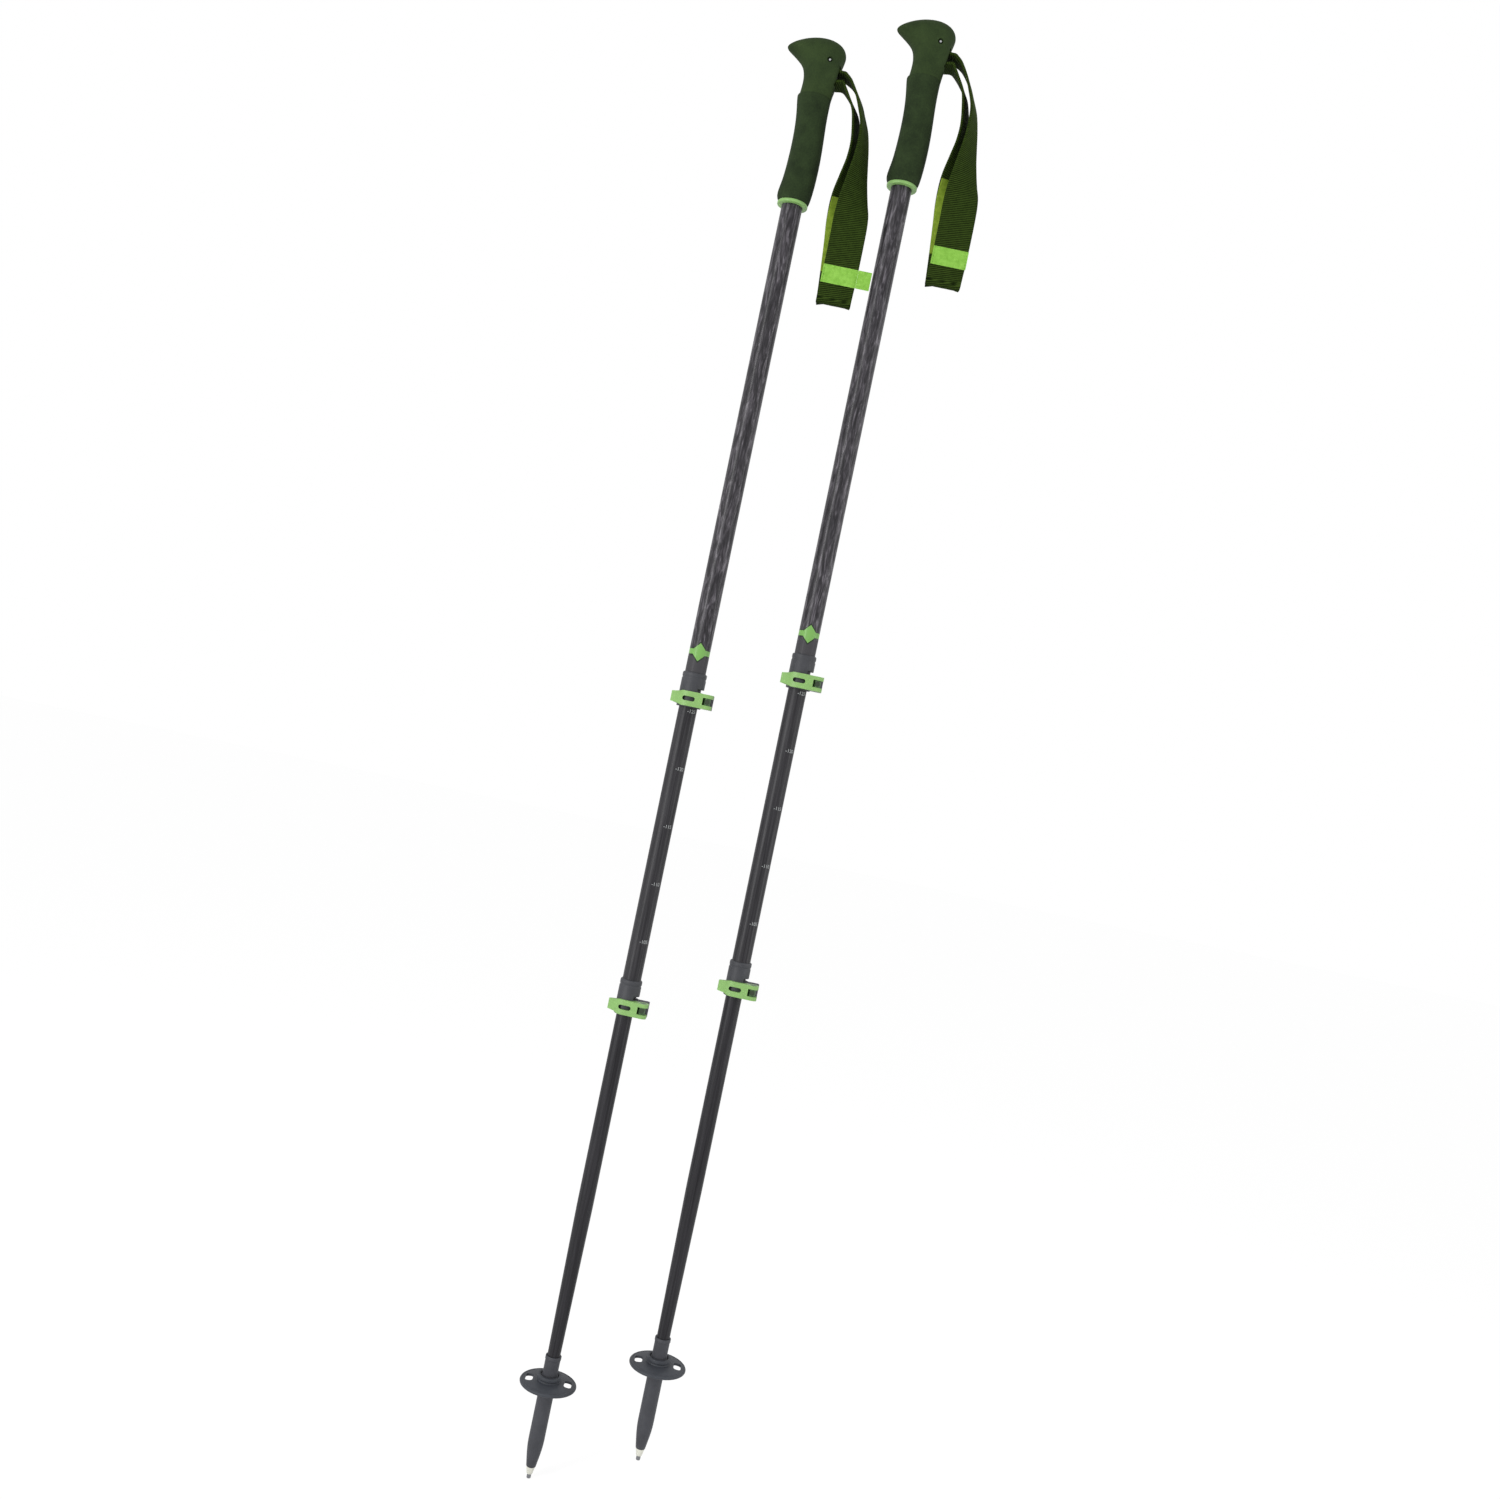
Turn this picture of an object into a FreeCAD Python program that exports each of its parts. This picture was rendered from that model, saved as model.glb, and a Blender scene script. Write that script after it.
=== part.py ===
import FreeCAD, Part
import math
import os

from FreeCAD import Vector

# A pair of three-section trekking poles with lever clamps, held upright side by side.
# The origin is the end of the left pole's carbide tip. +Z runs up that pole's shaft, +X points
# from the grip's beak to its strap and on to the right pole, and the levers wrap round the -Y side.
# Lengths are in millimetres and angles in degrees.

# --- the pair ---
pair_spacing = 88.4
pair_step = 34.0

# --- clearances ---
bond_gap = 0.05          # glued and pressed joints, each side
slide_gap = 0.08         # running fits, each side
rest_gap = 0.15          # flat faces of parts that move past each other
soft_gap = 0.3           # webbing beside anything that it isn't sewn to

# --- shaft ---
upper_tube_od = 18.0
tube_step = 1.0          # how much smaller in radius each lower tube is
tube_wall = 0.7
taper_length = 130.0     # the lower tube thins towards the tip over this length
taper_drop = 1.4         # loss of radius along the taper
lower_exposed = 298.1    # lower tube from the tip's collar to the lower clamp
middle_exposed = 237.1
upper_exposed = 406.4
middle_insertion = 215.0  # middle tube above the upper clamp's ledge
lower_insertion = 75.0
bushing_flange = 6.0
bushing_spigot = 15.0
bushing_bore_wall = 1.6

# --- tip ---
carbide_radius = 1.85
carbide_length = 12.0
carbide_show = 4.0
carbide_chamfer = 0.35
ferrule_show = 6.4
ferrule_nose_radius = 2.5
ferrule_radius = 3.8
ferrule_spigot_radius = 2.6
ferrule_spigot = 14.0
nose_radius = 4.15       # plastic tip body where the ferrule leaves it
nose_length = 15.6
nose_shoulder = 0.4      # how much thinner the nose ends than the barrel
body_straight_from = 34.0
collar_wall = 0.9        # from the tube out to the collar's outside
barrel_step = 0.35       # how much the barrel stands out past the collar
basket_land_step = 0.6  # the land that the basket turns on is this much thinner than the barrel
basket_land_start = 0.5  # and starts this far below the basket
collar_length = 17.0
collar_rim = 0.35
collar_rim_height = 3.0
socket_depth = 45.0      # how far the lower tube goes down into the tip body

# --- basket ---
basket_bottom = 80.0
basket_radius = 24.5
basket_wall = 2.0
basket_rim = 1.6         # radius of the bead round the edge
rim_rise = 2.5           # middle of the bead above the hub's foot
dish_rise = 1.2          # the dish stands this much higher at the hub than at the bead
hub_height = 10.5
hub_wall = 3.2
hub_chamfer = 0.6
hub_waist = 1.0          # depth of the groove between dish and hub
hub_waist_height = 1.8
hub_lip = 1.8
thread_height = 0.55     # how far the thread stands out past the barrel
thread_length = 8.0
window_reach = 16.8      # centre of each window from the shaft
window_half_width = 3.2
window_half_length = 6.0
window_corner = 2.6

# --- clamps ---
sleeve_wall = 1.4
sleeve_length = 30.0
sleeve_rim = 0.9
band_margin = 0.4        # how far the split band reaches above the lever
relief_height = 2.8
relief_from = 5.0
tube_ledge = 17.6
slit_width = 1.5
ear_thickness = 3.6
ear_past_hub = 4.9
hub_offset = 4.75        # lever's hinge beyond the sleeve's wall
lever_foot = 0.8
lever_height = 12.6
lever_gap = 0.35
lever_thickness = 2.6
cam_radius = 4.8
cam_throw = 0.25
cam_heel_angle = 135.0   # where the cam ends on the hinge's far side
lever_root_angle = -35.0  # where the lever's inner face leaves the sleeve
tab_height = 8.8
tab_length = 6.8
tab_thickness = 2.2
tab_angle = -140.0
tab_flare = 20.0
tab_shoulder = 1.2       # the lever reaches its tab's height this far inside its left edge
slot_centre = -0.7
slot_half_length = 5.4
slot_half_height = 1.9
jaw_half_height = 3.1
jaw_reach = 3.9
barrel_radius = 3.0
screw_radius = 2.0
screw_head_radius = 3.4
screw_head = 2.6
screw_drive_width = 0.9
screw_drive_depth = 1.2
screw_end_cover = 0.4    # the screw ends this far inside the barrel nut

# --- grip: covers are the thickness over the tube's radius: front (-X), back (+X) and sides ---
end_ring_height = 2.6
end_ring_cover = 4.1
end_ring_chamfer = 0.6
foam_sections = [
    (0.0, 3.6, 4.2, 3.6),
    (2.8, 5.5, 5.0, 4.6),
    (8.0, 6.0, 5.8, 5.0),
    (19.0, 3.6, 6.7, 4.8),
    (37.0, 2.6, 7.2, 4.2),
    (56.0, 2.2, 6.4, 3.8),
    (74.0, 3.2, 5.2, 3.9),
    (88.0, 5.4, 5.2, 4.6),
    (91.5, 5.7, 5.3, 4.6),
]
head_sections = [
    (0.0, 4.4, 5.4, 4.3),
    (7.0, 3.8, 6.0, 4.1),
    (14.3, 3.5, 6.9, 4.3),
    (20.0, 4.4, 7.4, 4.7),
    (24.5, 5.9, 7.9, 5.1),
    (28.0, 8.4, 8.6, 5.6),
    (31.2, 12.0, 9.5, 6.1),
    (35.2, 17.8, 10.5, 6.6),
    (37.6, 21.6, 10.8, 6.7),
    (38.8, 22.8, 10.8, 6.7),
    (40.2, 22.0, 10.6, 6.6),
    (42.6, 18.9, 9.9, 5.9),
    (45.2, 14.0, 8.2, 4.4),
    (47.6, 7.6, 5.0, 1.8),
    (49.2, 1.0, 0.8, -1.8),
    (50.0, -4.0, -3.0, -5.2),
]
core_cover = 1.4
core_spigot = 26.0
core_floor = 3.4
core_height = 37.0
pocket_front = 4.0       # the pocket's reach in front of the shaft's axis
pocket_room = 0.7        # behind the webbing that comes down from the pin
pocket_bottom = 10.8     # the strap's pocket above the head's foot
pocket_top = 34.0
mouth_top = 27.4
strap_pin_x = 6.8
strap_pin_height = 29.3
strap_pin_radius = 1.5
strap_pin_recess = 2.35
strap_pin_end = 2.4
head_side_at_pin = 14.6
wedge_front = 10.2
wedge_back = 15.6
wedge_bottom = 16.4
wedge_top = 22.6
wedge_foot_taper = 1.2   # how much the wedge's front edge rises below and falls above
wedge_head_taper = 0.4
tail_rise = 1.2          # the webbing's climb over the wedge and its dip under it
tail_dip = 0.9
tail_turn_start = 20.0   # angles round the pin, in even steps
tail_turn_step = 32.0

# --- strap ---
strap_width = 20.0       # webbing where it enters the grip
wrist_width = 30.0       # webbing round the wrist
strap_thickness = 2.0
strap_side_gap = 0.6
strap_split = 20.2       # the hanging loop starts here, just clear of the grip
fold_radius = 5.0
lining_thickness = 0.8
lining_gap = 0.2
lining_from = 9          # the lining starts at this station of the back limb
label_thickness = 0.6
label_drop = 153.6       # from the head's foot down to the label's lower edge
label_height = 15.7
label_overhang = 0.2
tab_past_label = 11.6
# Hanging limbs, from the mouth down: reach from the shaft, toward the far side, height above the
# head's foot, turn of the webbing from edge-on to face-on, and share of the wrist width gained.
front_limb = [
    (0.0, 0.0, 23.3, 0.0, 0.0),
    (1.0, 0.0, 23.3, 0.0, 0.0),
    (3.9, 0.0, 22.4, 1.0, 0.0),
    (10.3, 0.0, 17.4, 3.0, 0.0),
    (17.2, -0.4, 6.9, 7.0, 0.0),
    (21.8, -0.9, -3.6, 11.0, 0.0),
    (26.5, -1.6, -16.4, 18.0, 0.0),
    (28.7, -2.5, -30.7, 27.0, 0.1),
    (29.6, -3.5, -47.5, 36.0, 0.3),
    (29.8, -5.0, -63.0, 47.0, 0.55),
    (30.3, -6.2, -79.8, 61.0, 0.85),
    (31.1, -7.0, -94.5, 79.0, 1.0),
    (31.5, -7.2, -112.5, 90.0, 1.0),
    (31.5, -6.4, -140.0, 90.0, 1.0),
]
back_limb = [
    (0.0, 0.0, 15.4, 0.0, 0.0),
    (1.0, 0.0, 15.4, 0.0, 0.0),
    (3.6, 0.0, 13.4, 1.0, 0.0),
    (9.6, 0.0, 5.6, 3.0, 0.0),
    (16.4, 0.9, -4.9, 11.0, 0.0),
    (19.8, 1.6, -17.0, 18.0, 0.0),
    (22.6, 2.5, -31.2, 27.0, 0.1),
    (23.8, 3.5, -45.3, 36.0, 0.3),
    (23.4, 5.0, -60.0, 47.0, 0.55),
    (23.2, 6.2, -77.0, 61.0, 0.85),
    (25.2, 7.0, -94.5, 79.0, 1.0),
    (27.2, 7.2, -112.5, 90.0, 1.0),
    (29.4, 6.4, -140.0, 90.0, 1.0),
]
fold_centre = (30.9, 0.0, -163.6)

# --- sizes and places that follow ---
upper_radius = upper_tube_od / 2
middle_radius = upper_radius - tube_step
lower_radius = middle_radius - tube_step
ferrule_top = carbide_show + ferrule_show
collar_radius = lower_radius - taper_drop + collar_wall
body_radius = collar_radius + barrel_step
land_radius = body_radius - basket_land_step
thread_radius = body_radius + thread_height
hub_radius = thread_radius + hub_wall
thread_bottom = basket_bottom + hub_lip + slide_gap
collar_bottom = thread_bottom + thread_length
collar_top = collar_bottom + collar_length
lower_clamp_base = collar_top + lower_exposed
middle_foot = lower_clamp_base + tube_ledge
upper_clamp_base = lower_clamp_base + sleeve_length + middle_exposed
upper_foot = upper_clamp_base + tube_ledge
grip_base = upper_clamp_base + sleeve_length + upper_exposed
foam_base = grip_base + end_ring_height
head_base = foam_base + foam_sections[-1][0]
upper_tube_top = head_base + core_floor
band_height = lever_foot + lever_height + band_margin
pocket_half_width = strap_width / 2 + strap_side_gap
pocket_back = strap_pin_x + strap_pin_radius + soft_gap + 2 * strap_thickness + pocket_room


def upright(radius, bottom, top, x=0.0, y=0.0):
    """A round bar standing along Z."""
    return Part.makeCylinder(radius, top - bottom, Vector(x, y, bottom))


def across(radius, near, far, x, z):
    """A round bar lying along Y."""
    return Part.makeCylinder(radius, far - near, Vector(x, near, z), Vector(0, 1, 0))


def block(low, high):
    """A box between two corners."""
    size = [b - a for a, b in zip(low, high)]
    return Part.makeBox(*size, Vector(*low))


def turned(profile):
    """A solid of revolution about the shaft from (radius, height) points."""
    points = [Vector(radius, 0, z) for radius, z in profile]
    face = Part.Face(Part.makePolygon(points + points[:1]))
    return face.revolve(Vector(0, 0, 0), Vector(0, 0, 1), 360)


def polar(radius, angle):
    """A point in plan at an angle from +X."""
    return Vector(radius * math.cos(math.radians(angle)), radius * math.sin(math.radians(angle)), 0)


# --- shaft -----------------------------------------------------------------------------------

def plain_tube(radius, bottom, top):
    """A straight carbon tube."""
    return upright(radius, bottom, top).cut(upright(radius - tube_wall, bottom - 1, top + 1))


def lower_tube():
    """The lowest tube, straight at the top and thinning down into the tip body."""
    top = middle_foot + lower_insertion
    foot = collar_top - socket_depth
    straight = collar_top + taper_length
    foot_radius = taper_radius(foot)
    return turned([
        (foot_radius, foot),
        (lower_radius, straight),
        (lower_radius, top),
        (lower_radius - tube_wall, top),
        (lower_radius - tube_wall, straight),
        (foot_radius - tube_wall, foot),
    ])


def taper_radius(z):
    """Outside radius of the lower tube in its tapered stretch."""
    return lower_radius - taper_drop * (collar_top + taper_length - z) / taper_length


def bushing(tube_radius, outer_tube_radius, tube_top):
    """A plastic guide on a tube's upper end that keeps it from rattling in the tube above."""
    flange = outer_tube_radius - tube_wall - slide_gap
    spigot = tube_radius - tube_wall - bond_gap
    bore = spigot - bushing_bore_wall
    return turned([
        (bore, tube_top - bushing_spigot),
        (spigot, tube_top - bushing_spigot),
        (spigot, tube_top),
        (flange, tube_top),
        (flange, tube_top + bushing_flange),
        (bore, tube_top + bushing_flange),
    ])


# --- tip and basket ----------------------------------------------------------------------------

def carbide_tip():
    """The hard metal insert, flat at its end."""
    return turned([
        (0, 0),
        (carbide_radius - carbide_chamfer, 0),
        (carbide_radius, carbide_chamfer),
        (carbide_radius, carbide_length),
        (0, carbide_length),
    ])


def tip_ferrule():
    """The pale ferrule that holds the carbide in the tip body."""
    hole = carbide_radius + bond_gap
    return turned([
        (hole, carbide_show),
        (ferrule_nose_radius, carbide_show),
        (ferrule_radius, ferrule_top),
        (ferrule_spigot_radius, ferrule_top),
        (ferrule_spigot_radius, ferrule_top + ferrule_spigot),
        (0, ferrule_top + ferrule_spigot),
        (0, carbide_length + bond_gap),
        (hole, carbide_length + bond_gap),
    ])


def tip_body():
    """The moulded tip: tapered nose, straight barrel, basket thread and upper collar."""
    spigot_hole = ferrule_spigot_radius + bond_gap
    spigot_end = ferrule_top + ferrule_spigot + bond_gap
    socket_floor = collar_top - socket_depth - bond_gap
    return turned([
        (spigot_hole, ferrule_top),
        (nose_radius, ferrule_top),
        (body_radius - nose_shoulder, ferrule_top + nose_length),
        (body_radius, body_straight_from),
        (body_radius, basket_bottom - basket_land_start),
        (land_radius, basket_bottom - basket_land_start),
        (land_radius, thread_bottom),
        (thread_radius, thread_bottom),
        (thread_radius, collar_bottom),
        (collar_radius, collar_bottom),
        (collar_radius, collar_top - collar_rim_height),
        (collar_radius + collar_rim, collar_top - collar_rim_height),
        (collar_radius + collar_rim, collar_top - collar_rim),
        (collar_radius, collar_top),
        (taper_radius(collar_top) + bond_gap, collar_top),
        (taper_radius(socket_floor) + bond_gap, socket_floor),
        (0, socket_floor),
        (0, spigot_end),
        (spigot_hole, spigot_end),
    ])


def basket():
    """The round basket: a threaded hub and a shallow dish with a window on each side."""
    bore = thread_radius + slide_gap
    rim_middle = basket_bottom + rim_rise
    rim_top = rim_middle + basket_rim
    dish_top = rim_top + dish_rise
    hub_top = basket_bottom + hub_height
    ring_bottom = dish_top + hub_waist_height
    shape = turned([
        (land_radius + slide_gap, basket_bottom),
        (hub_radius - hub_chamfer, basket_bottom),
        (hub_radius, basket_bottom + hub_chamfer),
        (hub_radius, dish_top - basket_wall),
        (basket_radius - 2 * basket_rim, rim_top - basket_wall),
        (basket_radius - basket_rim, rim_middle - basket_rim),
        (basket_radius, rim_middle),
        (basket_radius - basket_rim, rim_top),
        (hub_radius + basket_wall, dish_top),
        (hub_radius - hub_waist, dish_top),
        (hub_radius - hub_waist, ring_bottom),
        (hub_radius, ring_bottom + hub_chamfer),
        (hub_radius, hub_top - hub_chamfer),
        (hub_radius - hub_chamfer, hub_top),
        (bore, hub_top),
        (bore, basket_bottom + hub_lip),
        (land_radius + slide_gap, basket_bottom + hub_lip),
    ])
    for side in (-1, 1):
        window = block((-window_half_width, -window_half_length, basket_bottom - 1),
                       (window_half_width, window_half_length, hub_top + 1))
        window = window.makeFillet(window_corner, [e for e in window.Edges if stands(e)])
        window.translate(Vector(side * window_reach, 0, 0))
        shape = shape.cut(window)
    return shape


def stands(edge):
    """True for a straight edge along Z."""
    box = edge.BoundBox
    return box.XLength < 1e-6 and box.YLength < 1e-6


# --- lever clamp -------------------------------------------------------------------------------

class Clamp:
    """The sizes that one clamp's pieces share: it is glued to the upper of two nested tubes."""

    def __init__(self, outer_radius, inner_radius, base):
        self.base = base
        self.bore = inner_radius + slide_gap
        self.socket = outer_radius + bond_gap
        self.wall = self.socket + sleeve_wall
        self.middle = base + lever_foot + lever_height / 2
        self.ear_face = slit_width / 2 + ear_thickness
        self.hub_x = self.wall + hub_offset
        self.hub_y = -(self.ear_face + rest_gap + cam_radius + cam_throw)

    def sleeve(self):
        """A sleeve with a split band below, whose two ears the screw draws together."""
        top = self.base + sleeve_length
        band_top = self.base + band_height
        body = upright(self.wall, self.base, top)
        body = body.makeFillet(sleeve_rim, [e for e in body.Edges if e.BoundBox.ZMin > top - 1e-6])
        ears = block((0, -self.ear_face, self.base + lever_foot),
                     (self.hub_x + ear_past_hub, self.ear_face, self.base + lever_foot + lever_height))
        body = body.fuse(ears)
        body = body.cut(upright(self.bore, self.base - 1, top + 1))
        body = body.cut(upright(self.socket, self.base + tube_ledge, top + 1))
        reach = self.hub_x + ear_past_hub + 1
        body = body.cut(block((0, -slit_width / 2, self.base - 1), (reach, slit_width / 2, band_top)))
        body = body.cut(block((relief_from, -reach, band_top), (reach, reach, band_top + relief_height)))
        hole = across(screw_radius + slide_gap, -reach, reach, self.hub_x, self.middle)
        return body.cut(hole)

    def lever(self):
        """A lever that wraps round the sleeve's front, with a cam at its hinge and a finger tab."""
        inner = self.wall + lever_gap
        outer = inner + lever_thickness
        cam = Vector(self.hub_x, self.hub_y + cam_throw, 0)
        cam_back = cam + polar(cam_radius, cam_heel_angle)
        cam_front = cam + polar(cam_radius, -90)
        along = polar(1, tab_angle - 90 + tab_flare)
        tab_tip = polar(outer, tab_angle) + along * tab_length
        tab_inner = tab_tip + polar(tab_thickness, tab_angle - 180 + tab_flare)
        outline = [
            Part.Arc(polar(outer, tab_angle), polar(outer, (tab_angle - 90) / 2), polar(outer, -90)),
            Part.LineSegment(polar(outer, -90), cam_front),
            Part.Arc(cam_front, cam + polar(cam_radius, (cam_heel_angle - 90) / 2), cam_back),
            Part.LineSegment(cam_back, polar(inner, lever_root_angle)),
            Part.Arc(polar(inner, lever_root_angle), polar(inner, -90), polar(inner, tab_angle)),
            Part.LineSegment(polar(inner, tab_angle), tab_inner),
            Part.LineSegment(tab_inner, tab_tip),
            Part.LineSegment(tab_tip, polar(outer, tab_angle)),
        ]
        plan = Part.Face(Part.Wire([curve.toShape() for curve in outline]))
        body = plan.extrude(Vector(0, 0, lever_height))
        body.translate(Vector(0, 0, self.middle - lever_height / 2))
        body = body.common(self.side_outline(outer))
        body = body.cut(upright(barrel_radius + slide_gap, self.middle - lever_height,
                                self.middle + lever_height, self.hub_x, self.hub_y))
        body = body.cut(self.jaw())
        return body.cut(self.oblong_window(outer, inner))

    def side_outline(self, outer):
        """The lever from the front: full height, narrowing to the finger tab."""
        full = lever_height / 2
        half = tab_height / 2
        far = 2 * outer
        shoulder = tab_shoulder - outer
        corners = [(-far, -half), (shoulder, -half), (-outer / 2, -full), (far, -full),
                   (far, full), (-outer / 2, full), (shoulder, half), (-far, half)]
        points = [Vector(x, -far, self.middle + z) for x, z in corners]
        face = Part.Face(Part.makePolygon(points + points[:1]))
        return face.extrude(Vector(0, 2 * far, 0))

    def jaw(self):
        """The gap between the lever's two cheeks, where the screw swings past."""
        reach = 3 * cam_radius
        return block((self.hub_x - jaw_reach, self.hub_y - reach, self.middle - jaw_half_height),
                     (self.hub_x + reach, self.hub_y + reach, self.middle + jaw_half_height))

    def oblong_window(self, outer, inner):
        """The rounded window in the lever's front."""
        near = -outer - 1
        far = -inner / 2
        straight = slot_half_length - slot_half_height
        window = block((slot_centre - straight, near, self.middle - slot_half_height),
                       (slot_centre + straight, far, self.middle + slot_half_height))
        for side in (-1, 1):
            end = across(slot_half_height, near, far, slot_centre + side * straight, self.middle)
            window = window.fuse(end)
        return window

    def barrel_nut(self):
        """The lever's hinge pin, with the cross hole that the screw threads into."""
        half = lever_height / 2 - bond_gap
        pin = upright(barrel_radius, self.middle - half, self.middle + half, self.hub_x, self.hub_y)
        hole = across(screw_radius + bond_gap, self.hub_y - barrel_radius - 1,
                      self.hub_y + barrel_radius + 1, self.hub_x, self.middle)
        return pin.cut(hole)

    def screw(self):
        """The adjusting screw, with a slotted head behind the far ear."""
        seat = self.ear_face + rest_gap
        end = seat + screw_head
        tip = self.hub_y - barrel_radius + screw_end_cover
        shank = across(screw_radius, tip, seat, self.hub_x, self.middle)
        head = across(screw_head_radius, seat, end, self.hub_x, self.middle)
        slot = block((self.hub_x - screw_head_radius, end - screw_drive_depth,
                      self.middle - screw_drive_width / 2),
                     (self.hub_x + screw_head_radius, end + 1, self.middle + screw_drive_width / 2))
        return shank.fuse(head).cut(slot)


# --- grip --------------------------------------------------------------------------------------

def grip_outline(front, back, side, z):
    """A closed smooth outline round the shaft: one half-ellipse in front and one behind."""
    points = []
    for step in range(16):
        angle = math.radians(step * 22.5)
        reach = back if math.cos(angle) > 0 else front
        points.append(Vector(reach * math.cos(angle), side * math.sin(angle), z))
    curve = Part.BSplineCurve()
    curve.interpolate(points, PeriodicFlag=True)
    return Part.Wire([curve.toShape()])


def grip_loft(sections, base, straight=False):
    """A solid through outlines given as (height, front, back, side) covers over the tube.

    The sides run straight from outline to outline where a smooth loft would swell past them.
    """
    outlines = []
    for height, front, back, side in sections:
        outlines.append(grip_outline(upper_radius + front, upper_radius + back,
                                     upper_radius + side, base + height))
    return Part.makeLoft(outlines, True, straight)


def grip_end_ring():
    """The bright ring that finishes the grip's lower end."""
    outer = upper_radius + end_ring_cover
    bore = upper_radius + bond_gap
    return turned([
        (bore, grip_base),
        (outer - end_ring_chamfer, grip_base),
        (outer, grip_base + end_ring_chamfer),
        (outer, foam_base),
        (bore, foam_base),
    ])


def grip_foam():
    """The foam hand grip on the tube."""
    body = grip_loft(foam_sections, foam_base)
    return body.cut(upright(upper_radius + bond_gap, foam_base - 1, head_base + 1))


def strap_pocket():
    """The space in core and head for pin, wedge and webbing, with its mouth at the back."""
    pocket = block((-pocket_front, -pocket_half_width, head_base + pocket_bottom),
                   (pocket_back, pocket_half_width, head_base + pocket_top))
    mouth = block((strap_pin_x, -pocket_half_width, head_base + pocket_bottom),
                  (strap_split + 10, pocket_half_width, head_base + mouth_top))
    return pocket.fuse(mouth)


def grip_head():
    """The moulded head with its beak, over the core, open behind for the strap."""
    core_radius = upper_radius + core_cover + bond_gap
    body = grip_loft(head_sections, head_base, straight=True)
    body = body.cut(upright(upper_radius + bond_gap, head_base - 1, upper_tube_top + 1))
    body = body.cut(upright(core_radius, upper_tube_top, head_base + core_height + bond_gap))
    body = body.cut(strap_pocket())
    height = head_base + strap_pin_height
    end = head_side_at_pin - strap_pin_end
    body = body.cut(across(strap_pin_radius + bond_gap, -end, end, strap_pin_x, height))
    for near, far in ((-end - 20, -end), (end, end + 20)):
        body = body.cut(across(strap_pin_recess, near, far, strap_pin_x, height))
    return body


def grip_core():
    """The hard core: a plug in the tube's end and the block that holds pin, wedge and strap."""
    plug_radius = upper_radius - tube_wall - bond_gap
    plug = upright(plug_radius, upper_tube_top - core_spigot, upper_tube_top + 1)
    body = upright(upper_radius + core_cover, upper_tube_top, head_base + core_height).fuse(plug)
    body = body.cut(strap_pocket())
    return body.cut(across(strap_pin_radius + bond_gap, -upper_tube_od, upper_tube_od,
                           strap_pin_x, head_base + strap_pin_height))


def strap_pin():
    """The cross pin that the strap hangs on."""
    end = head_side_at_pin - strap_pin_end
    return across(strap_pin_radius, -end, end, strap_pin_x, head_base + strap_pin_height)


def strap_wedge():
    """The wedge that jams the two bands of webbing in the mouth."""
    half = strap_width / 2
    corners = [(wedge_front, wedge_bottom + wedge_foot_taper), (wedge_back, wedge_bottom),
               (wedge_back, wedge_top), (wedge_front, wedge_top - wedge_head_taper)]
    points = [Vector(x, -half, head_base + z) for x, z in corners]
    face = Part.Face(Part.makePolygon(points + points[:1]))
    return face.extrude(Vector(0, 2 * half, 0))


# --- strap -------------------------------------------------------------------------------------

def ribbon(stations, thickness, lift=0.0):
    """Webbing through stations of (centre, turn, width); lift moves it off its own middle plane.

    A turn of 0 lays the width along Y and a turn of 90 lays it along X.
    """
    outlines = []
    last = len(stations) - 1
    for index, (centre, turn, width) in enumerate(stations):
        before = stations[max(index - 1, 0)][0]
        after = stations[min(index + 1, last)][0]
        along = (after - before).normalize()
        angle = math.radians(turn)
        side = Vector(math.sin(angle), math.cos(angle), 0)
        side = (side - along * side.dot(along)).normalize()
        outward = along.cross(side) * -1
        middle = centre + outward * lift
        corners = []
        for a, b in ((-1, -1), (1, -1), (1, 1), (-1, 1)):
            corners.append(middle + side * (a * width / 2) + outward * (b * thickness / 2))
        outlines.append(Part.makePolygon(corners + corners[:1]))
    return Part.makeLoft(outlines, True, True)


def limb_stations(limb):
    """Stations of one hanging limb of the strap."""
    stations = []
    for reach, far, height, turn, gain in limb:
        centre = Vector(strap_split + reach, far, head_base + height)
        stations.append((centre, turn, strap_width + gain * (wrist_width - strap_width)))
    return stations


def fold_stations():
    """Stations round the fold at the bottom of the hand loop."""
    x, y, height = fold_centre
    stations = []
    for step in range(9):
        angle = math.radians(180 + step * 22.5)
        centre = Vector(strap_split + x, y + fold_radius * math.cos(angle),
                        head_base + height + fold_radius * math.sin(angle))
        stations.append((centre, 90.0, wrist_width))
    return stations


def strap_webbing():
    """The hanging hand loop, one piece of webbing down the front and up the back."""
    back = limb_stations(back_limb)[::-1]
    return ribbon(limb_stations(front_limb) + fold_stations() + back, strap_thickness)


def strap_lining():
    """The soft lining sewn inside the back limb."""
    stations = limb_stations(back_limb)[lining_from:]
    lift = (strap_thickness + lining_thickness) / 2 + lining_gap
    return ribbon(stations, lining_thickness, lift)


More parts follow.
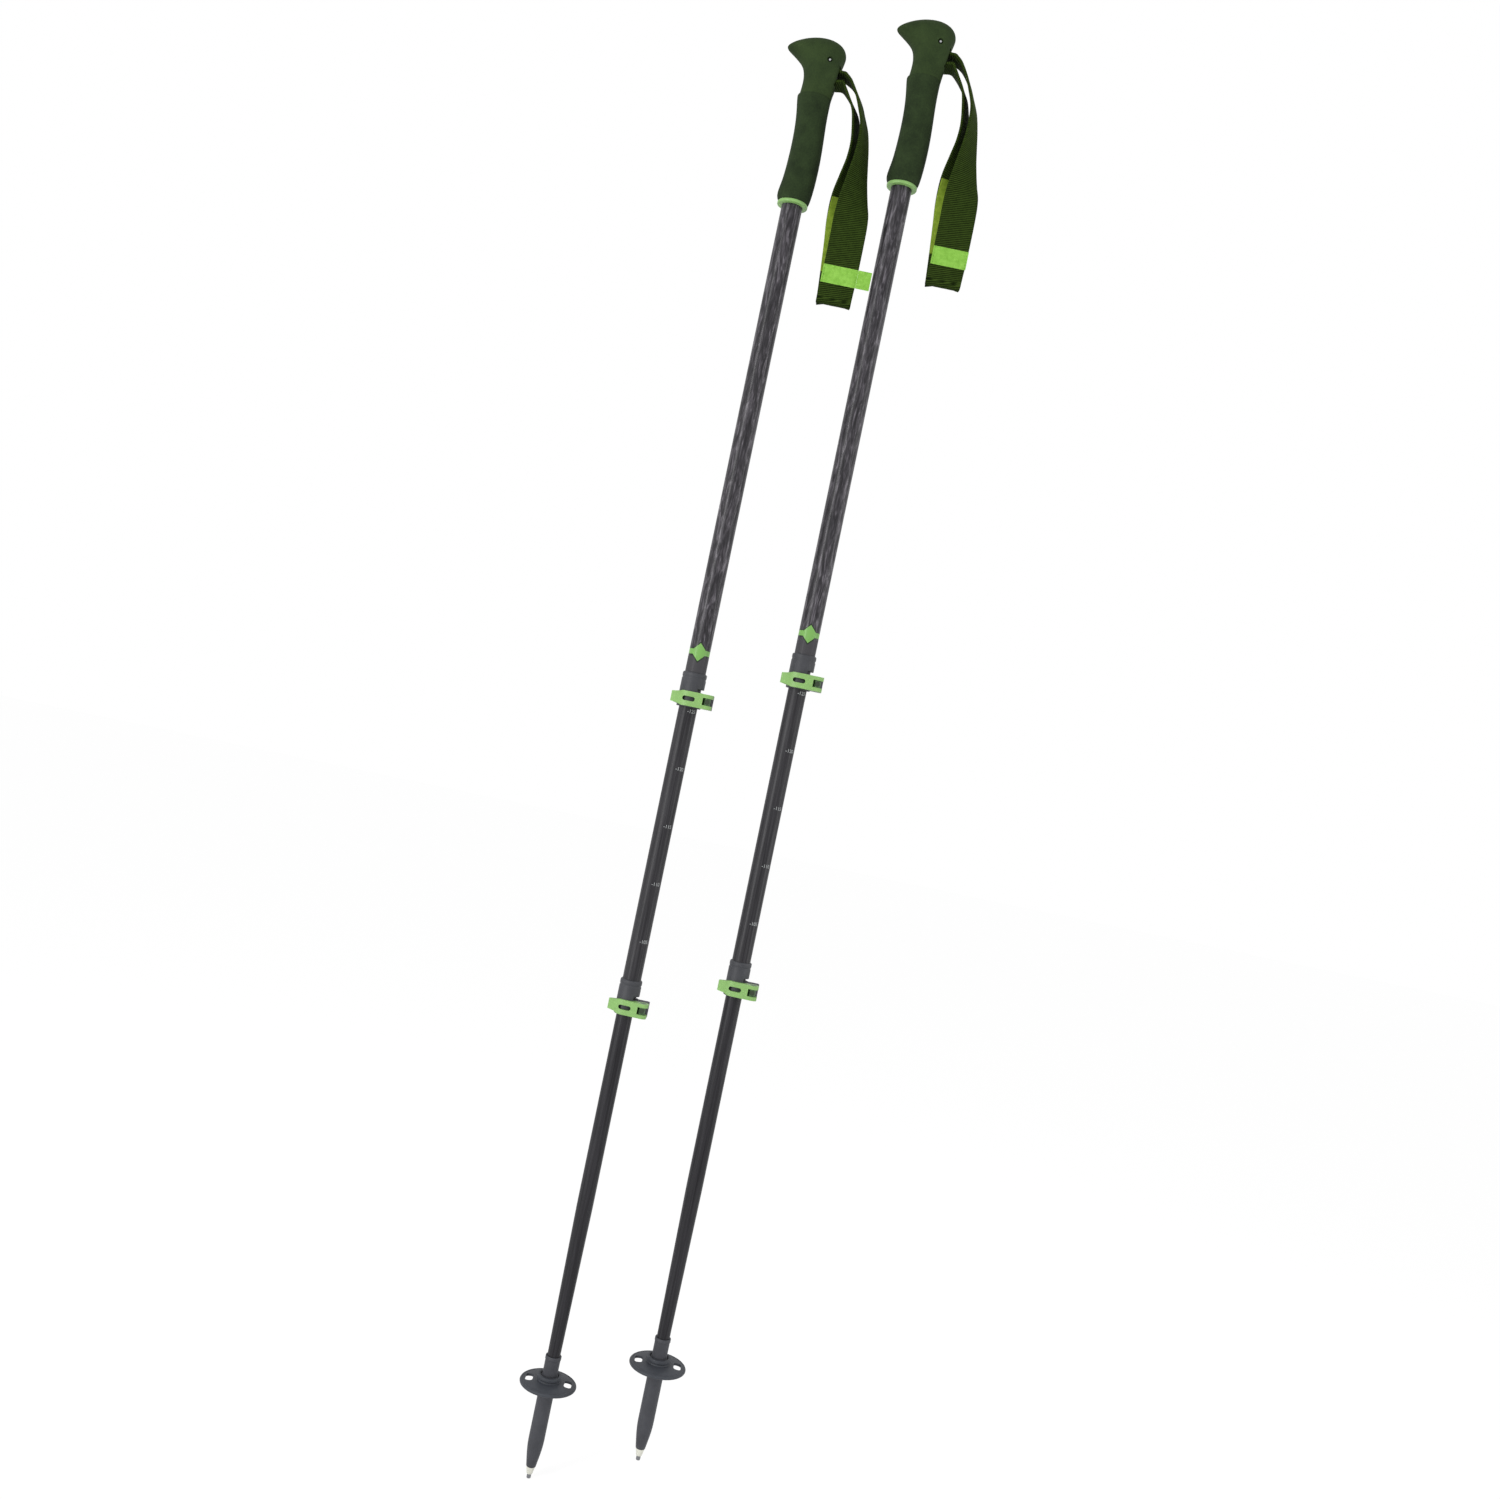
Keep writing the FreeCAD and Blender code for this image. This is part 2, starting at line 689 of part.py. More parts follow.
def strap_tail():
    """The webbing inside the head: in over the wedge, round the pin and out below the wedge."""
    wrap = strap_pin_radius + soft_gap + strap_thickness / 2
    pin = Vector(strap_pin_x, 0, head_base + strap_pin_height)
    end = strap_split - soft_gap
    above = head_base + front_limb[0][2]
    below = head_base + back_limb[0][2]
    points = [Vector(end, 0, above), Vector(end - 1, 0, above)]
    points.append(Vector(wedge_back - 1, 0, above + tail_rise))
    for step in range(6):
        angle = math.radians(tail_turn_start + step * tail_turn_step)
        points.append(pin + Vector(wrap * math.cos(angle), 0, wrap * math.sin(angle)))
    points.append(Vector(pin.x - wrap + 0.6, 0, head_base + wedge_bottom + 3))
    points.append(Vector(pin.x - wrap + 3, 0, head_base + wedge_bottom - tail_rise))
    points.append(Vector(wedge_back - 3, 0, below - tail_dip))
    points.append(Vector(end - 1, 0, below))
    points.append(Vector(end, 0, below))
    return ribbon([(point, 0.0, strap_width) for point in points], strap_thickness)


def label_plate(left, right):
    """A flat plate of label stock in front of the front limb, between two reaches."""
    front = front_limb[-1][1] - strap_thickness / 2 - bond_gap
    bottom = head_base - label_drop
    return block((left, front - label_thickness, bottom), (right, front, bottom + label_height))


def strap_label():
    """The bright label sewn across the front of the wrist webbing."""
    centre = strap_split + front_limb[-1][0]
    half = wrist_width / 2 + label_overhang
    return label_plate(centre - half, centre + half)


def strap_tab():
    """The loose end of one label, standing out past the webbing."""
    start = strap_split + front_limb[-1][0] + wrist_width / 2 + label_overhang
    return label_plate(start, start + tab_past_label)


# --- assembly ----------------------------------------------------------------------------------

def pole():
    """Every piece of one pole, by name, with its tip's end at the origin."""
    lower_top = middle_foot + lower_insertion
    middle_top = upper_foot + middle_insertion
    pieces = {
        "upper_tube": plain_tube(upper_radius, upper_foot, upper_tube_top),
        "middle_tube": plain_tube(middle_radius, middle_foot, middle_top),
        "lower_tube": lower_tube(),
        "middle_bushing": bushing(middle_radius, upper_radius, middle_top),
        "lower_bushing": bushing(lower_radius, middle_radius, lower_top),
        "carbide_tip": carbide_tip(),
        "tip_ferrule": tip_ferrule(),
        "tip_body": tip_body(),
        "basket": basket(),
        "grip_end_ring": grip_end_ring(),
        "grip_foam": grip_foam(),
        "grip_head": grip_head(),
        "grip_core": grip_core(),
        "strap_pin": strap_pin(),
        "strap_wedge": strap_wedge(),
        "strap_tail": strap_tail(),
        "strap_webbing": strap_webbing(),
        "strap_lining": strap_lining(),
        "strap_label": strap_label(),
    }
    clamps = {
        "upper_clamp": Clamp(upper_radius, middle_radius, upper_clamp_base),
        "lower_clamp": Clamp(middle_radius, lower_radius, lower_clamp_base),
    }
    for name, clamp in clamps.items():
        pieces[name + "_sleeve"] = clamp.sleeve()
        pieces[name + "_lever"] = clamp.lever()
        pieces[name + "_barrel_nut"] = clamp.barrel_nut()
        pieces[name + "_screw"] = clamp.screw()
    return pieces


def main():
    """Write each piece of both poles to its own STEP file."""
    os.makedirs("parts", exist_ok=True)
    pieces = pole()
    offsets = {"left": Vector(0, 0, 0), "right": Vector(pair_spacing, 0, pair_step)}
    for side, offset in offsets.items():
        for name, shape in pieces.items():
            placed = shape.copy()
            placed.translate(offset)
            placed.exportStep("parts/" + side + "_" + name + ".step")
    strap_tab().exportStep("parts/left_strap_tab.step")
    for name, shape in pieces.items():
        box = shape.BoundBox
        print(f"{name:24s} solids {len(shape.Solids)} valid {shape.isValid()} "
              f"volume {shape.Volume:9.1f} z {box.ZMin:7.1f} to {box.ZMax:7.1f}")


main()
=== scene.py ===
# %% [markdown]
# # A pair of trekking poles
# Each pole is three nested carbon tubes held by two lever clamps, with a foam grip and a wrist
# strap at one end and a carbide tip and a basket at the other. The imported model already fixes
# where every part is and how it moves, so this lesson gives the parts their finishes and makes
# the soft and rounded ones again as smooth meshes in exactly the same places.

import math

import bmesh
import bpy
from mathutils import Matrix, Vector


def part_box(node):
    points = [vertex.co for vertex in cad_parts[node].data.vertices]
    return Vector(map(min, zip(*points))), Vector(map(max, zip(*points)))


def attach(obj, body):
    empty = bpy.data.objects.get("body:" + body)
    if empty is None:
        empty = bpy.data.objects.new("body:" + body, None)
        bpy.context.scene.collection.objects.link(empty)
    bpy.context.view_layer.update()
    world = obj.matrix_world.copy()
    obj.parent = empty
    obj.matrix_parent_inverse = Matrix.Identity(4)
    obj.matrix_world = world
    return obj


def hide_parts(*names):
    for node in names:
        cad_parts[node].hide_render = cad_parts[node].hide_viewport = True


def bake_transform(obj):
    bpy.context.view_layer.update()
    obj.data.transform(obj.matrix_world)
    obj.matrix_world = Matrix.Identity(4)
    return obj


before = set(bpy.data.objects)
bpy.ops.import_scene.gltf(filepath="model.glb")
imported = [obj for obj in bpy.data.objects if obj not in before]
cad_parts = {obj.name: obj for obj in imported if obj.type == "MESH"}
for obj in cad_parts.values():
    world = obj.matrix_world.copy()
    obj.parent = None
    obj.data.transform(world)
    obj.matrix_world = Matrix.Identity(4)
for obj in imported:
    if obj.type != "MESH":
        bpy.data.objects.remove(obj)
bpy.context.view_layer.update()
MM = 0.001
SIDES = ("left", "right")
BOND_GAP = 0.05
SLIDE_GAP = 0.08

# %% [markdown]
# ## Where the parts are
# Both poles are the same, so every piece is made in millimetres about its own shaft, from the end
# of the carbide tip up, and then carried to its pole. The places and sizes are read from the
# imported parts' boxes.

# %% Measure the parts
def middle_of(node):
    """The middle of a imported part's box, in metres."""
    low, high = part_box(node)
    return (low + high) / 2


def span(part):
    """Bottom and top of one of the left pole's parts, in millimetres above its tip."""
    low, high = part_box("left_" + part)
    return (low.z / MM, high.z / MM)


def radius_of(part):
    """Half the width across Y of one of the left pole's parts, in millimetres."""
    low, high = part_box("left_" + part)
    return (high.y - low.y) / 2 / MM


poles = {}
for side in SIDES:
    tip = side + "_carbide_tip"
    place = middle_of(tip)
    poles[side] = Vector((place.x, place.y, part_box(tip)[0].z))
tube_radius = {part: radius_of(part) for part in ("upper_tube", "middle_tube", "lower_tube")}
print("right pole stands", (poles["right"] - poles["left"]).to_tuple(4), "m from the left one")

# %% [markdown]
# ## The camera
# The camera looks level at the middle of the shafts and is rolled, so the upright poles lean to
# the right across a square picture. A level camera close by sees the basket from above, and the
# grips a little from below.

# %% Place the camera
LEAN = math.radians(11.72)
DISTANCE = 1.2
VIEW_WIDTH = 1.2815
AIM = Vector((0.0590, 0.0, 0.6475))


def place_camera():
    """A rolled camera in front of the poles, whose picture is VIEW_WIDTH wide at the shafts."""
    data = bpy.data.cameras.new("camera")
    data.sensor_width = 36.0
    data.lens = data.sensor_width * DISTANCE / VIEW_WIDTH
    camera = bpy.data.objects.new("camera", data)
    bpy.context.scene.collection.objects.link(camera)
    right = Vector((math.cos(LEAN), 0, math.sin(LEAN)))
    up = Vector((-math.sin(LEAN), 0, math.cos(LEAN)))
    back = Vector((0, -1, 0))
    turn = Matrix((right, up, back)).transposed()
    camera.matrix_world = Matrix.Translation(AIM + back * DISTANCE) @ turn.to_4x4()
    bpy.context.scene.camera = camera
    return data.lens


print(f"camera lens {place_camera():.1f} mm")

# %% [markdown]
# ## Shader arithmetic
# A finish is mostly sums on numbers that vary over the surface. Wrapping a socket in a small class
# lets those sums be written as plain expressions, and each operator adds one Math node.

# %% Sockets that add and multiply
def plug(tree, socket, value):
    """Links a socket, or sets it to a constant."""
    if isinstance(value, Wire):
        tree.links.new(value.socket, socket)
    else:
        socket.default_value = value


class Wire:
    """One output socket, with arithmetic."""

    def __init__(self, tree, socket):
        self.tree = tree
        self.socket = socket

    def math(self, operation, *values):
        node = self.tree.nodes.new("ShaderNodeMath")
        node.operation = operation
        for socket, value in zip(node.inputs, values):
            plug(self.tree, socket, value)
        return Wire(self.tree, node.outputs[0])

    def __add__(self, other):
        return self.math("ADD", self, other)

    def __sub__(self, other):
        return self.math("SUBTRACT", self, other)

    def __rsub__(self, other):
        return self.math("SUBTRACT", other, self)

    def __mul__(self, other):
        return self.math("MULTIPLY", self, other)

    def __truediv__(self, other):
        return self.math("DIVIDE", self, other)

    def __lt__(self, other):
        return self.math("LESS_THAN", self, other)

    __radd__ = __add__
    __rmul__ = __mul__

    def size(self):
        return self.math("ABSOLUTE", self)


def paint(red, green, blue):
    """A colour written as on a screen, from 0 to 255, as the light that it reflects."""
    parts = [value / 255 for value in (red, green, blue)]
    return tuple(((p + 0.055) / 1.055) ** 2.4 if p > 0.04045 else p / 12.92 for p in parts) + (1.0,)


print("mid grey reflects", round(paint(128, 128, 128)[0], 3))

# %% [markdown]
# ## Finishes
# One class builds every material: it starts from a Principled shader, sets the numbers that are
# the same all over directly on it, and has one method that adds any other node.

# %% A material and its nodes
class Finish:
    """A material under construction."""

    def __init__(self, name, **constants):
        self.material = bpy.data.materials.new(name)
        self.material.use_nodes = True
        self.tree = self.material.node_tree
        self.surface = self.tree.nodes["Principled BSDF"]
        for socket, value in constants.items():
            self.surface.inputs[socket.replace("_", " ")].default_value = value

    def node(self, kind, settings=None, output=0, **values):
        """Adds a node: its settings first, then the values or links of its sockets."""
        made = self.tree.nodes.new("ShaderNode" + kind)
        for key, value in (settings or {}).items():
            if key == "stops":
                for stop in range(len(value) - 2):
                    made.color_ramp.elements.new(0.5)
                for element, (place, colour) in zip(made.color_ramp.elements, value):
                    element.position = place
                    element.color = colour
            else:
                setattr(made, key, value)
        for socket, value in values.items():
            plug(self.tree, made.inputs[socket.replace("_", " ")], value)
        return Wire(self.tree, made.outputs[output])

    def place(self, scale=(1, 1, 1), shift=(0, 0, 0), turn=(0, 0, 0)):
        """Object coordinates, moved and stretched."""
        spot = self.node("TexCoord", output=3)
        return self.node("Mapping", Vector=spot, Scale=scale, Location=shift, Rotation=turn)

    def noise(self, where, scale, detail=3.0, roughness=0.55, distortion=0.0):
        """Soft random blotches from 0 to 1."""
        return self.node("TexNoise", Vector=where, Scale=scale, Detail=detail,
                         Roughness=roughness, Distortion=distortion)

    def colours(self, factor, stops):
        """Colours picked along a ramp."""
        return self.node("ValToRGB", {"stops": stops}, Fac=factor)

    def blend(self, factor, low, high):
        """One colour over another."""
        made = self.tree.nodes.new("ShaderNodeMix")
        made.data_type = "RGBA"
        plug(self.tree, made.inputs[0], factor)
        plug(self.tree, made.inputs[6], low)
        plug(self.tree, made.inputs[7], high)
        return Wire(self.tree, made.outputs[2])

    def bump(self, height, distance, strength=1.0):
        """Fine relief, with distance in metres."""
        return self.node("Bump", Height=height, Distance=distance, Strength=strength)

    def wear(self, **links):
        """Feeds varying values to the shader and returns the material."""
        for socket, value in links.items():
            plug(self.tree, self.surface.inputs[socket.replace("_", " ")], value)
        return self.material


print("finishes are built with", Finish.__name__)

# %% [markdown]
# ## Carbon tubes
# The upper tube is wrapped in chopped strands that show as a smoky marble under a clear coat. The
# two thinner tubes are pulled in one direction, so their grain runs straight along the shaft. Both
# grains are noise that is stretched along Z. The upper tube also has a printed lime band, which
# a mask on height and on the angle round the shaft draws.

# %% Carbon finishes
LIME = paint(116, 166, 86)


def round_shaft(finish, side):
    """Arc length round a pole's shaft from its front, in metres, and height above its tip."""
    spot = finish.place(shift=tuple(-poles[side]))
    parts = finish.node("SeparateXYZ", Vector=spot)
    x, y, z = [Wire(finish.tree, socket) for socket in parts.socket.node.outputs]
    angle = x.math("ARCTAN2", x, 0.0 - y)
    return angle, z


def marbled_carbon(side):
    """The upper tube: smoky streaks, matt collar zone and a printed lime band with a diamond."""
    finish = Finish("marbled_carbon_" + side, Coat_Roughness=0.2, Specular_IOR_Level=0.2)
    streaks = finish.place(scale=(1.0, 1.0, 0.16), turn=(0.3, 0.26, 0))
    broad = finish.noise(streaks, 230.0, detail=3.0, distortion=1.8)
    fine = finish.noise(streaks, 700.0, detail=3.0)
    grain = broad * 0.72 + fine * 0.28
    carbon = finish.colours(grain, [
        (0.38, paint(24, 22, 26)), (0.48, paint(42, 40, 44)),
        (0.56, paint(66, 63, 68)), (0.68, paint(116, 112, 118)),
    ])
    angle, height = round_shaft(finish, side)
    arc = angle * (tube_radius["upper_tube"] * MM)
    bottom = span("upper_clamp_sleeve")[1] * MM
    band_height = bottom + 0.0175
    rise = (height - band_height).size()
    matt = height < (bottom + 0.0135)
    diamond = (arc.size() / 0.0076 + rise / 0.0078) < 1.0
    edge = (arc.size() / 0.0088 + rise / 0.0092) < 1.0
    ring = rise < 0.0022
    ring_edge = rise < 0.0030
    printed = diamond.math("MAXIMUM", diamond, ring)
    outlined = edge.math("MAXIMUM", edge, ring_edge)
    colour = finish.blend(matt, carbon, paint(62, 61, 64))
    colour = finish.blend(outlined, colour, paint(30, 42, 28))
    colour = finish.blend(printed, colour, LIME)
    coat = 0.2 - matt * 0.15
    rough = 0.42 + matt * 0.12 + fine * 0.08
    relief = finish.bump(fine, 0.00002, 0.3)
    return finish.wear(Base_Color=colour, Roughness=rough, Coat_Weight=coat, Normal=relief)


def straight_carbon(name, dark, light):
    """The middle and lower tubes: grain that runs along the shaft under a satin coat."""
    finish = Finish(name, Coat_Roughness=0.25, Specular_IOR_Level=0.2, Coat_Weight=0.1)
    along = finish.place(scale=(1.0, 1.0, 0.022))
    grain = finish.noise(along, 520.0, detail=4.0, distortion=0.4)
    thread = finish.noise(along, 1700.0, detail=1.0)
    colour = finish.colours(grain * 0.7 + thread * 0.3, [
        (0.36, dark), (0.5, finish_between(dark, light, 0.45)), (0.66, light),
    ])
    relief = finish.bump(thread, 0.00002, 0.35)
    return finish.wear(Base_Color=colour, Roughness=0.4 + thread * 0.14, Normal=relief)


def finish_between(low, high, share):
    """A colour between two others."""
    return tuple(a + (b - a) * share for a, b in zip(low, high))


marbled = {side: marbled_carbon(side) for side in SIDES}
middle_carbon = straight_carbon("middle_carbon", paint(22, 21, 25), paint(56, 55, 58))
lower_carbon = straight_carbon("lower_carbon", paint(18, 17, 21), paint(44, 43, 47))
print("carbon for", list(marbled), "and two straight grains")

# %% [markdown]
# ## Moulded plastics, foam and metal
# A mould is sparked or sanded, so plastic shows a fine even grain and a soft highlight. The closed
# foam of the grip has a slightly coarser skin with tiny pits. The small metal parts are turned.

# %% Plastic, foam and metal finishes
def moulded(name, colour, roughness, grain=2600.0, depth=0.00003, tint=0.14):
    """Moulded plastic with a fine grain and slight unevenness of colour."""
    finish = Finish(name, Specular_IOR_Level=0.3)
    spot = finish.place()
    speck = finish.noise(spot, grain, detail=2.0)
    cloud = finish.noise(spot, 90.0, detail=2.0)
    dark = tuple(c * (1 - tint) for c in colour[:3]) + (1.0,)
    light = tuple(min(1.0, c * (1 + tint)) for c in colour[:3]) + (1.0,)
    shade = finish.colours(cloud * 0.7 + speck * 0.3, [(0.35, dark), (0.65, light)])
    return finish.wear(Base_Color=shade, Roughness=roughness + speck * 0.12,
                       Normal=finish.bump(speck, depth, 0.5))


def foam_skin(name, low, high, pits):
    """Closed-cell foam or soft rubber: matt, mottled and finely pitted."""
    finish = Finish(name, Specular_IOR_Level=0.15)
    spot = finish.place()
    cells = finish.node("TexVoronoi", {"feature": "F1"}, Vector=spot, Scale=pits)
    cloud = finish.noise(spot, 70.0, detail=4.0)
    speck = finish.noise(spot, pits * 0.6, detail=3.0)
    shade = finish.colours(cloud * 0.55 + speck * 0.45, [(0.36, low), (0.64, high)])
    height = cells * 0.6 + speck * 0.7
    return finish.wear(Base_Color=shade, Roughness=0.72 + speck * 0.2,
                       Normal=finish.bump(height, 0.00012, 0.55))


def turned_metal(name, colour, roughness):
    """Turned or ground metal."""
    finish = Finish(name, Metallic=1.0)
    speck = finish.noise(finish.place(scale=(1, 1, 6)), 1800.0, detail=2.0)
    return finish.wear(Base_Color=colour, Roughness=roughness + speck * 0.15,
                       Normal=finish.bump(speck, 0.00001, 0.4))


foam = foam_skin("grip_foam", paint(26, 38, 19), paint(44, 59, 32), 1500.0)
head_skin = foam_skin("grip_head", paint(34, 48, 24), paint(50, 66, 34), 2100.0)
clamp_plastic = moulded("clamp_plastic", paint(60, 61, 65), 0.46)
tip_plastic = moulded("tip_plastic", paint(62, 63, 68), 0.5)
basket_plastic = moulded("basket_plastic", paint(58, 61, 67), 0.5)
lever_plastic = moulded("lime_plastic", paint(130, 172, 100), 0.34, depth=0.00001, tint=0.06)
nut_plastic = moulded("nut_plastic", paint(64, 92, 58), 0.4, depth=0.00001, tint=0.06)
ferrule_plastic = moulded("ferrule", paint(214, 214, 202), 0.42, tint=0.05)
core_plastic = moulded("core_plastic", paint(44, 46, 42), 0.5)
steel = turned_metal("steel", paint(182, 184, 186), 0.26)
screw_steel = turned_metal("screw_steel", paint(66, 76, 62), 0.4)
carbide = turned_metal("carbide", paint(128, 129, 132), 0.4)
print("made", len(bpy.data.materials), "finishes so far")

# %% [markdown]
# ## Webbing, lining and label
# The strap is ribbed webbing: its cross ribs are real relief in the mesh, and the finish adds the
# yarn, the fuzz and painted shade that darkens the valleys between the ribs. It reads two
# attributes that the mesh carries, the distance along the strap and the place across it, so the
# weave turns and folds with the strap.

# %% Fabric finishes
RIB = 1.55


def webbing_finish():
    """Dark green ribbed webbing, with painted shade in the valleys between its ribs."""
    finish = Finish("webbing", Specular_IOR_Level=0.04)
    along = finish.node("Attribute", {"attribute_name": "along"}, output=2)
    across = finish.node("Attribute", {"attribute_name": "across"}, output=2)
    wave = along.math("SINE", along * (2 * math.pi / (RIB * MM)))
    yarn = across.math("SINE", across * (2 * math.pi / (0.55 * MM)))
    cloud = finish.noise(finish.place(), 240.0, detail=4.0)
    # The rib wave paints shade into the valleys and a lighter tone on the crests; the yarn and
    # cloud terms are the webbing's own tone.
    value = wave * 0.24 + yarn * 0.05 + cloud * 0.3 + 0.35
    shade = finish.colours(value, [
        (0.24, paint(14, 23, 4)), (0.5, paint(34, 49, 13)), (0.74, paint(58, 76, 28)),
    ])
    height = wave * 0.5 + yarn * 0.4 + cloud * 0.6
    return finish.wear(Base_Color=shade, Roughness=0.7 + cloud * 0.2,
                       Normal=finish.bump(height, 0.00012, 0.7))


def cloth_finish(name, low, high, weave):
    """A flat woven cloth with a fine square weave."""
    finish = Finish(name, Specular_IOR_Level=0.15)
    spot = finish.place()
    parts = finish.node("SeparateXYZ", Vector=spot)
    x, _, z = [Wire(finish.tree, socket) for socket in parts.socket.node.outputs]
    pitch = 2 * math.pi / (weave * MM)
    threads = x.math("SINE", x * pitch) * z.math("SINE", z * pitch)
    cloud = finish.noise(spot, 300.0, detail=3.0)
    shade = finish.colours(cloud * 0.8 + threads * 0.12 + 0.1, [(0.35, low), (0.68, high)])
    return finish.wear(Base_Color=shade, Roughness=0.66 + cloud * 0.2,
                       Normal=finish.bump(threads, 0.00005, 0.6))


webbing = webbing_finish()
lining_cloth = cloth_finish("lining", paint(112, 140, 36), paint(142, 168, 58), 0.8)
label_cloth = cloth_finish("label", paint(122, 176, 64), paint(144, 198, 84), 0.45)
print("fabric finishes:", webbing.name, lining_cloth.name, label_cloth.name)

# %% [markdown]
# ## From a bmesh to a piece
# Every piece is shaped as a bmesh in millimetres about its own shaft. One helper closes it, points
# its faces outwards, marks its sharp edges, carries it to its pole and lets it ride on a body.

# %% Finish a piece
SHARP = math.radians(38)


def settle(bm, name, side, material, slot, nodes, bevel=0.0, smooth=0):
    """Turns a bmesh into a named mesh object on its pole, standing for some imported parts."""
    bmesh.ops.remove_doubles(bm, verts=bm.verts, dist=1e-4)
    bmesh.ops.recalc_face_normals(bm, faces=bm.faces)
    for face in bm.faces:
        face.smooth = True
    for edge in bm.edges:
        if len(edge.link_faces) == 2 and edge.calc_face_angle() > SHARP and not smooth:
            edge.smooth = False
    bm.transform(Matrix.Translation(poles[side]) @ Matrix.Scale(MM, 4))
    title = f"{side}_{name}_fine"
    mesh = bpy.data.meshes.new(title)
    bm.to_mesh(mesh)
    bm.free()
    mesh.materials.append(material)
    piece = bpy.data.objects.new(title, mesh)
    bpy.context.scene.collection.objects.link(piece)
    if bevel:
        rounding = piece.modifiers.new("rounding", "BEVEL")
        rounding.width = bevel * MM
        rounding.segments = 3
        rounding.limit_method = "ANGLE"
        rounding.angle_limit = SHARP
        rounding.harden_normals = False
    if smooth:
        rounding = piece.modifiers.new("smooth", "SUBSURF")
        rounding.levels = smooth
        rounding.render_levels = smooth
    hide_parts(*[side + "_" + node for node in nodes])
    return piece


def make_each(name, body, build, material, slot, nodes, **options):
    """Builds the same piece on both poles and lets each ride on its pole's body."""
    for side in SIDES:
        finish = material[side] if isinstance(material, dict) else material
        piece = settle(build(), name, side, finish, slot, nodes, **options)
        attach(piece, side + "_" + body)
    print("made", name, "for both poles")


# %% [markdown]
# ## Turned shapes
# Tubes, rings, the tip and the basket are all round, so each is a profile spun about the shaft.

# %% Spin a profile
def spun(profile, steps=96):
    """A closed shape of revolution from a closed list of (radius, height) points."""
    bm = bmesh.new()
    verts = [bm.verts.new((radius, 0, height)) for radius, height in profile]
    edges = [bm.edges.new(pair) for pair in zip(verts, verts[1:] + verts[:1])]
    bmesh.ops.spin(bm, geom=verts + edges, cent=(0, 0, 0), axis=(0, 0, 1), angle=2 * math.pi,
                   steps=steps, use_merge=True, use_duplicate=False)
    bmesh.ops.remove_doubles(bm, verts=bm.verts, dist=1e-4)
    return bm


TUBE_WALL = 0.7
TAPER_LENGTH = 130.0
TAPER_DROP = 1.4


def tube(part, wall=TUBE_WALL):
    """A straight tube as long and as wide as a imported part."""
    low, high = span(part)
    radius = tube_radius[part]
    return spun([(radius, low), (radius, high), (radius - wall, high), (radius - wall, low)])


def lower_tube(wall=TUBE_WALL):
    """The lowest tube, which thins towards the tip."""
    low, high = span("lower_tube")
    radius = tube_radius["lower_tube"]
    collar = span("tip_body")[1]
    straight = collar + TAPER_LENGTH
    foot = radius - TAPER_DROP * (straight - low) / TAPER_LENGTH
    return spun([(foot, low), (radius, straight), (radius, high),
                 (radius - wall, high), (radius - wall, straight), (foot - wall, low)])


make_each("upper_tube", "upper", lambda: tube("upper_tube"), marbled, "carbon", ["upper_tube"])
make_each("middle_tube", "middle", lambda: tube("middle_tube"), middle_carbon, "carbon",
          ["middle_tube"])
make_each("lower_tube", "lower", lower_tube, lower_carbon, "carbon", ["lower_tube"])

# %% [markdown]
# ## Numbers on the middle tube
# The length marks are the only print that the middle tube carries: plain numbers 50 mm apart, in
# centimetres of the whole pole. Each is a text turned into a thin mesh and wrapped round the tube
# a hair above its surface, so it stays sharp at any size. The clamp's ledge is the reading edge.

# %% Wrap a number on the tube
MARKS = range(105, 145, 5)
FIRST_MARK_HEIGHT = 469.0
MARK_PITCH = 10.0
MARK_SIZE = 4.3
MARK_START_ANGLE = math.radians(2)
INK_LIFT = 0.03


def number_mesh(label, size):
    """A word as a flat bmesh, one unit per millimetre, starting at the origin."""
    curve = bpy.data.curves.new("number", "FONT")
    curve.body = label
    curve.size = size
    holder = bpy.data.objects.new("number", curve)
    bpy.context.scene.collection.objects.link(holder)
    graph = bpy.context.evaluated_depsgraph_get()
    flat = bpy.data.meshes.new_from_object(holder.evaluated_get(graph))
    bpy.data.objects.remove(holder)
    bm = bmesh.new()
    bm.from_mesh(flat)
    bpy.data.meshes.remove(flat)
    return bm


def length_marks():
    """All of one pole's marks, wrapped round the middle tube."""
    radius = tube_radius["middle_tube"] + INK_LIFT
    marks = bmesh.new()
    for mark in MARKS:
        word = number_mesh("-" + str(mark), MARK_SIZE)
        height = FIRST_MARK_HEIGHT + MARK_PITCH * (mark - MARKS[0])
        for vert in word.verts:
            angle = MARK_START_ANGLE + vert.co.x / radius
            rise = height + vert.co.y - MARK_SIZE * 0.35
            vert.co = (radius * math.sin(angle), -radius * math.cos(angle), rise)
        loose = bpy.data.meshes.new("word")
        word.to_mesh(loose)
        word.free()
        marks.from_mesh(loose)
        bpy.data.meshes.remove(loose)
    bmesh.ops.solidify(marks, geom=list(marks.faces), thickness=-INK_LIFT / 2)
    return marks


def ink(name, colour):
    """Printed ink, worn a little thin in places."""
    finish = Finish(name, IOR=1.5)
    cloud = finish.noise(finish.place(), 1400.0, detail=2.0)
    shade = finish.blend(cloud, tuple(c * 0.72 for c in colour[:3]) + (1.0,), colour)
    return finish.wear(Base_Color=shade, Roughness=0.45 + cloud * 0.2)


pale_ink = ink("pale_ink", paint(176, 180, 180))
for side in SIDES:
    marks = settle(length_marks(), "length_marks", side, pale_ink, "carbon", [])
    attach(marks, side + "_middle")
print("marks from", MARKS[0], "to", MARKS[-1], "cm")

# %% [markdown]
# ## Carving
# The clamp's sleeve and lever have windows, slits and pockets. A boolean cuts each closed shape out
# of another exactly, and a bevel afterwards breaks every edge, as a mould does.

# %% Prisms, boxes, rods and cuts
ARC_STEP = math.radians(5)


